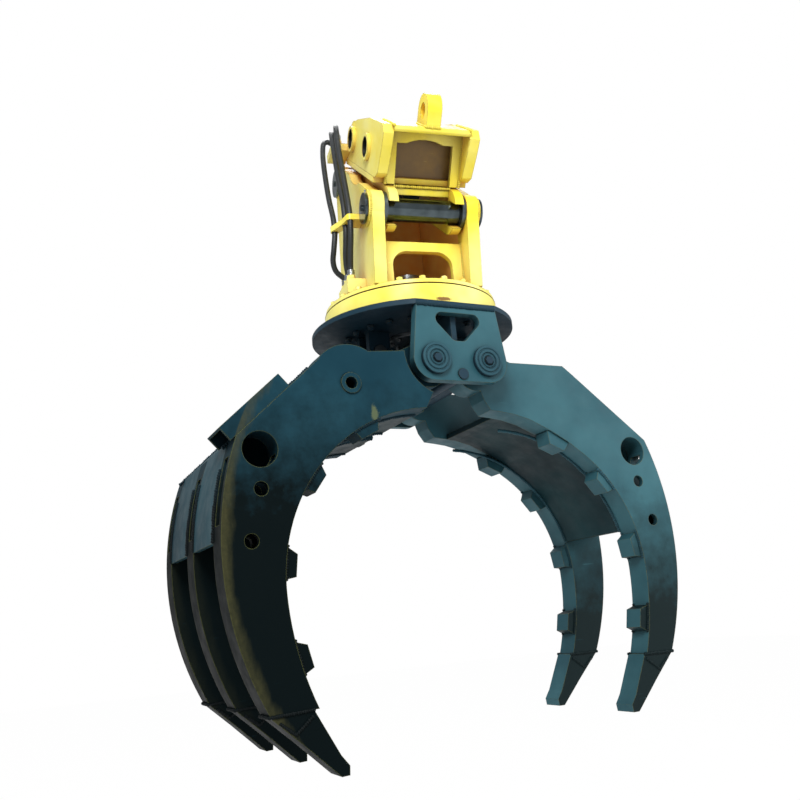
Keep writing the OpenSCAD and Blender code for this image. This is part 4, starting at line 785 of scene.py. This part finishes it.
# Hinge pin caps. Turned steel discs with grooved rings, bolted through their middle and sprayed
# with the plates.
CAP = [(19, 0), (19, 3), (25, 3.6), (26, 1.2), (31, 1.2), (32, 4.4), (41, 4.4), (42, 1.4), (47, 1.4),
       (48, 3.4), (55, 3.4), (56.5, 2), (56.5, 0)]
CAP_FACE = 377
bm = bmesh.new()
for s, f in quarters:
    outwards = Matrix.Rotation(math.radians(90) * -f, 4, "X")
    lathe(bm, CAP, TABLE @ MM @ Matrix.Translation((s * HINGE_X, f * CAP_FACE, HINGE_Z)) @ outwards,
          64, closed=True)
keep("hinge_cap_rings", shut(bm, "hinge_cap_rings"), teal_weld, "turntable")


# Bore liners. Hardened bushes inside the hitch's painted bosses for the machine's stick and link,
# coloured near black as painted shade in the bores.
STICK_BORE = (458, 203)
LINK_BORE = (184, 205)
BOSS_MIDDLE = 173.5
LINER = [(39.9, -26), (37, -26.5), (36, -25), (36, 25), (37, 26.5), (39.9, 26)]
bore_shade = turned("bore_painted_shade", "#2A2C2A", "#0A0B0A", 0.5)
sideways = Matrix.Rotation(math.radians(90), 4, "Y")
bm = bmesh.new()
for bore in (STICK_BORE, LINK_BORE):
    for s in SIDES:
        lathe(bm, LINER, HITCH @ MM @ Matrix.Translation((s * BOSS_MIDDLE, *bore)) @ sideways, 56,
              closed=True)
keep("bore_liners", shut(bm, "bore_liners"), bore_shade, "head")


# Ring seam. A rusty line of sealant, smeared into the joint where the base plate sits on the ring
# housing.
SEALANT = [(337, 103), (337.5, 106), (340, 105.5), (342.5, 104), (343.4, 102.5), (343.2, 99), (341, 99)]
seam = turned("rusted_seam", "#5A3A1E", "#2A1C12", 0.7)
bm = bmesh.new()
lathe(bm, SEALANT, HEAD @ MM, 160, closed=True)
keep("ring_seam", shut(bm, "ring_seam"), seam, "head")


# Flange bolts. Hexagon heads on washers, in rings: they hold the gear ring to the disc from below,
# the union's two flanges and the slewing motor's foot. Zinc-plated steel, sprayed over in places.
zinc = turned("zinc_plate", "#8C9294", "#3C4244", 0.42)
# a head's height, and its washer's radius and thickness, as shares of the head's radius
HEAD_TALL, WASHER_WIDE, WASHER_THIN = 1.1, 1.28, 0.5
bolt_tree = node_group("bolt_circle", {"Count": "Int", "Circle radius": "Float", "Bolt radius": "Float",
                                       "Finish": "Material"}, "Bolts")
given = put(bolt_tree, "NodeGroupInput").outputs
circle = put(bolt_tree, "GeometryNodeMeshCircle",
             {"Vertices": given["Count"], "Radius": given["Circle radius"]})
half_step = put(bolt_tree, "ShaderNodeMath", {0: math.pi, 1: given["Count"]}, operation="DIVIDE")
offset = put(bolt_tree, "ShaderNodeCombineXYZ", {"Z": half_step.outputs[0]})
turned_ring = put(bolt_tree, "GeometryNodeTransform",
                  {"Geometry": circle.outputs[0], "Rotation": offset.outputs[0]})
tall, wide, thin = (
    put(bolt_tree, "ShaderNodeMath", {0: given["Bolt radius"], 1: part}, operation="MULTIPLY").outputs[0]
    for part in (HEAD_TALL, WASHER_WIDE, WASHER_THIN))
both = put(bolt_tree, "GeometryNodeJoinGeometry")
for sides, radius, depth in ((6, given["Bolt radius"], tall), (28, wide, thin)):
    drum = put(bolt_tree, "GeometryNodeMeshCylinder",
               {"Vertices": sides, "Radius": radius, "Depth": depth})
    lift = put(bolt_tree, "ShaderNodeCombineXYZ", {"Z": depth})
    raised = put(bolt_tree, "GeometryNodeTransform",
                 {"Geometry": drum.outputs["Mesh"], "Translation": lift.outputs[0]})
    bolt_tree.links.new(raised.outputs[0], both.inputs[0])
bolts = put(bolt_tree, "GeometryNodeInstanceOnPoints",
            {"Points": turned_ring.outputs[0], "Instance": both.outputs[0]})
real = put(bolt_tree, "GeometryNodeRealizeInstances", {0: bolts.outputs[0]})
coated = put(bolt_tree, "GeometryNodeSetMaterial",
             {"Geometry": real.outputs[0], "Material": given["Finish"]})
put(bolt_tree, "NodeGroupOutput", {0: coated.outputs[0]})

DOWN = Matrix.Rotation(math.pi, 4, "X")
ROTOR_FACE = Matrix.Translation((0, 0, -0.014))
UNION_FACE = Matrix.Translation((0, 0, 0.135))
MOTOR_FOOT = Matrix.Translation((0, 0.192, 0.141))
# each ring's place, bolt count, radius and bolt radius in millimetres, material and body
for name, place, count, circle_r, bolt_r, material, body in (
    # the ring bolts take the disc's painted shade
    ("ring_bolts", TABLE @ DOWN, 20, 262, 11, shaded_black_teal, "turntable"),
    ("rotor_bolts", TABLE @ ROTOR_FACE @ DOWN, 8, 80, 7, zinc, "turntable"),
    ("union_bolts", HEAD @ UNION_FACE, 8, 78, 7, zinc, "head"),
    ("motor_bolts", HEAD @ MOTOR_FOOT, 4, 60, 5, zinc, "head"),
):
    values = {"Count": count, "Circle radius": circle_r / 1000, "Bolt radius": bolt_r / 1000,
              "Finish": material}
    mesh = grow(name, bolt_tree, bpy.data.meshes.new(name), values)
    mesh.transform(place)
    keep(name, mesh, material, body)


# Grease nipples. Small plated steel nipples, screwed upright into the tops of the pins' bosses on
# the outside of the ears.
NIPPLE = [(0.4, 0), (6, 0), (6, 5), (3.6, 6), (3.6, 9), (4.8, 11), (4.8, 13), (3, 15), (0.4, 16)]
NIPPLE_X = 216
BOSS_TOPS = ((-255, 495), (186, 840))
bm = bmesh.new()
for s in SIDES:
    for y, z in BOSS_TOPS:
        lathe(bm, NIPPLE, HEAD @ MM @ Matrix.Translation((s * NIPPLE_X, y, z)), 14)
keep("boss_nipples", shut(bm, "boss_nipples"), bright_steel, "head")
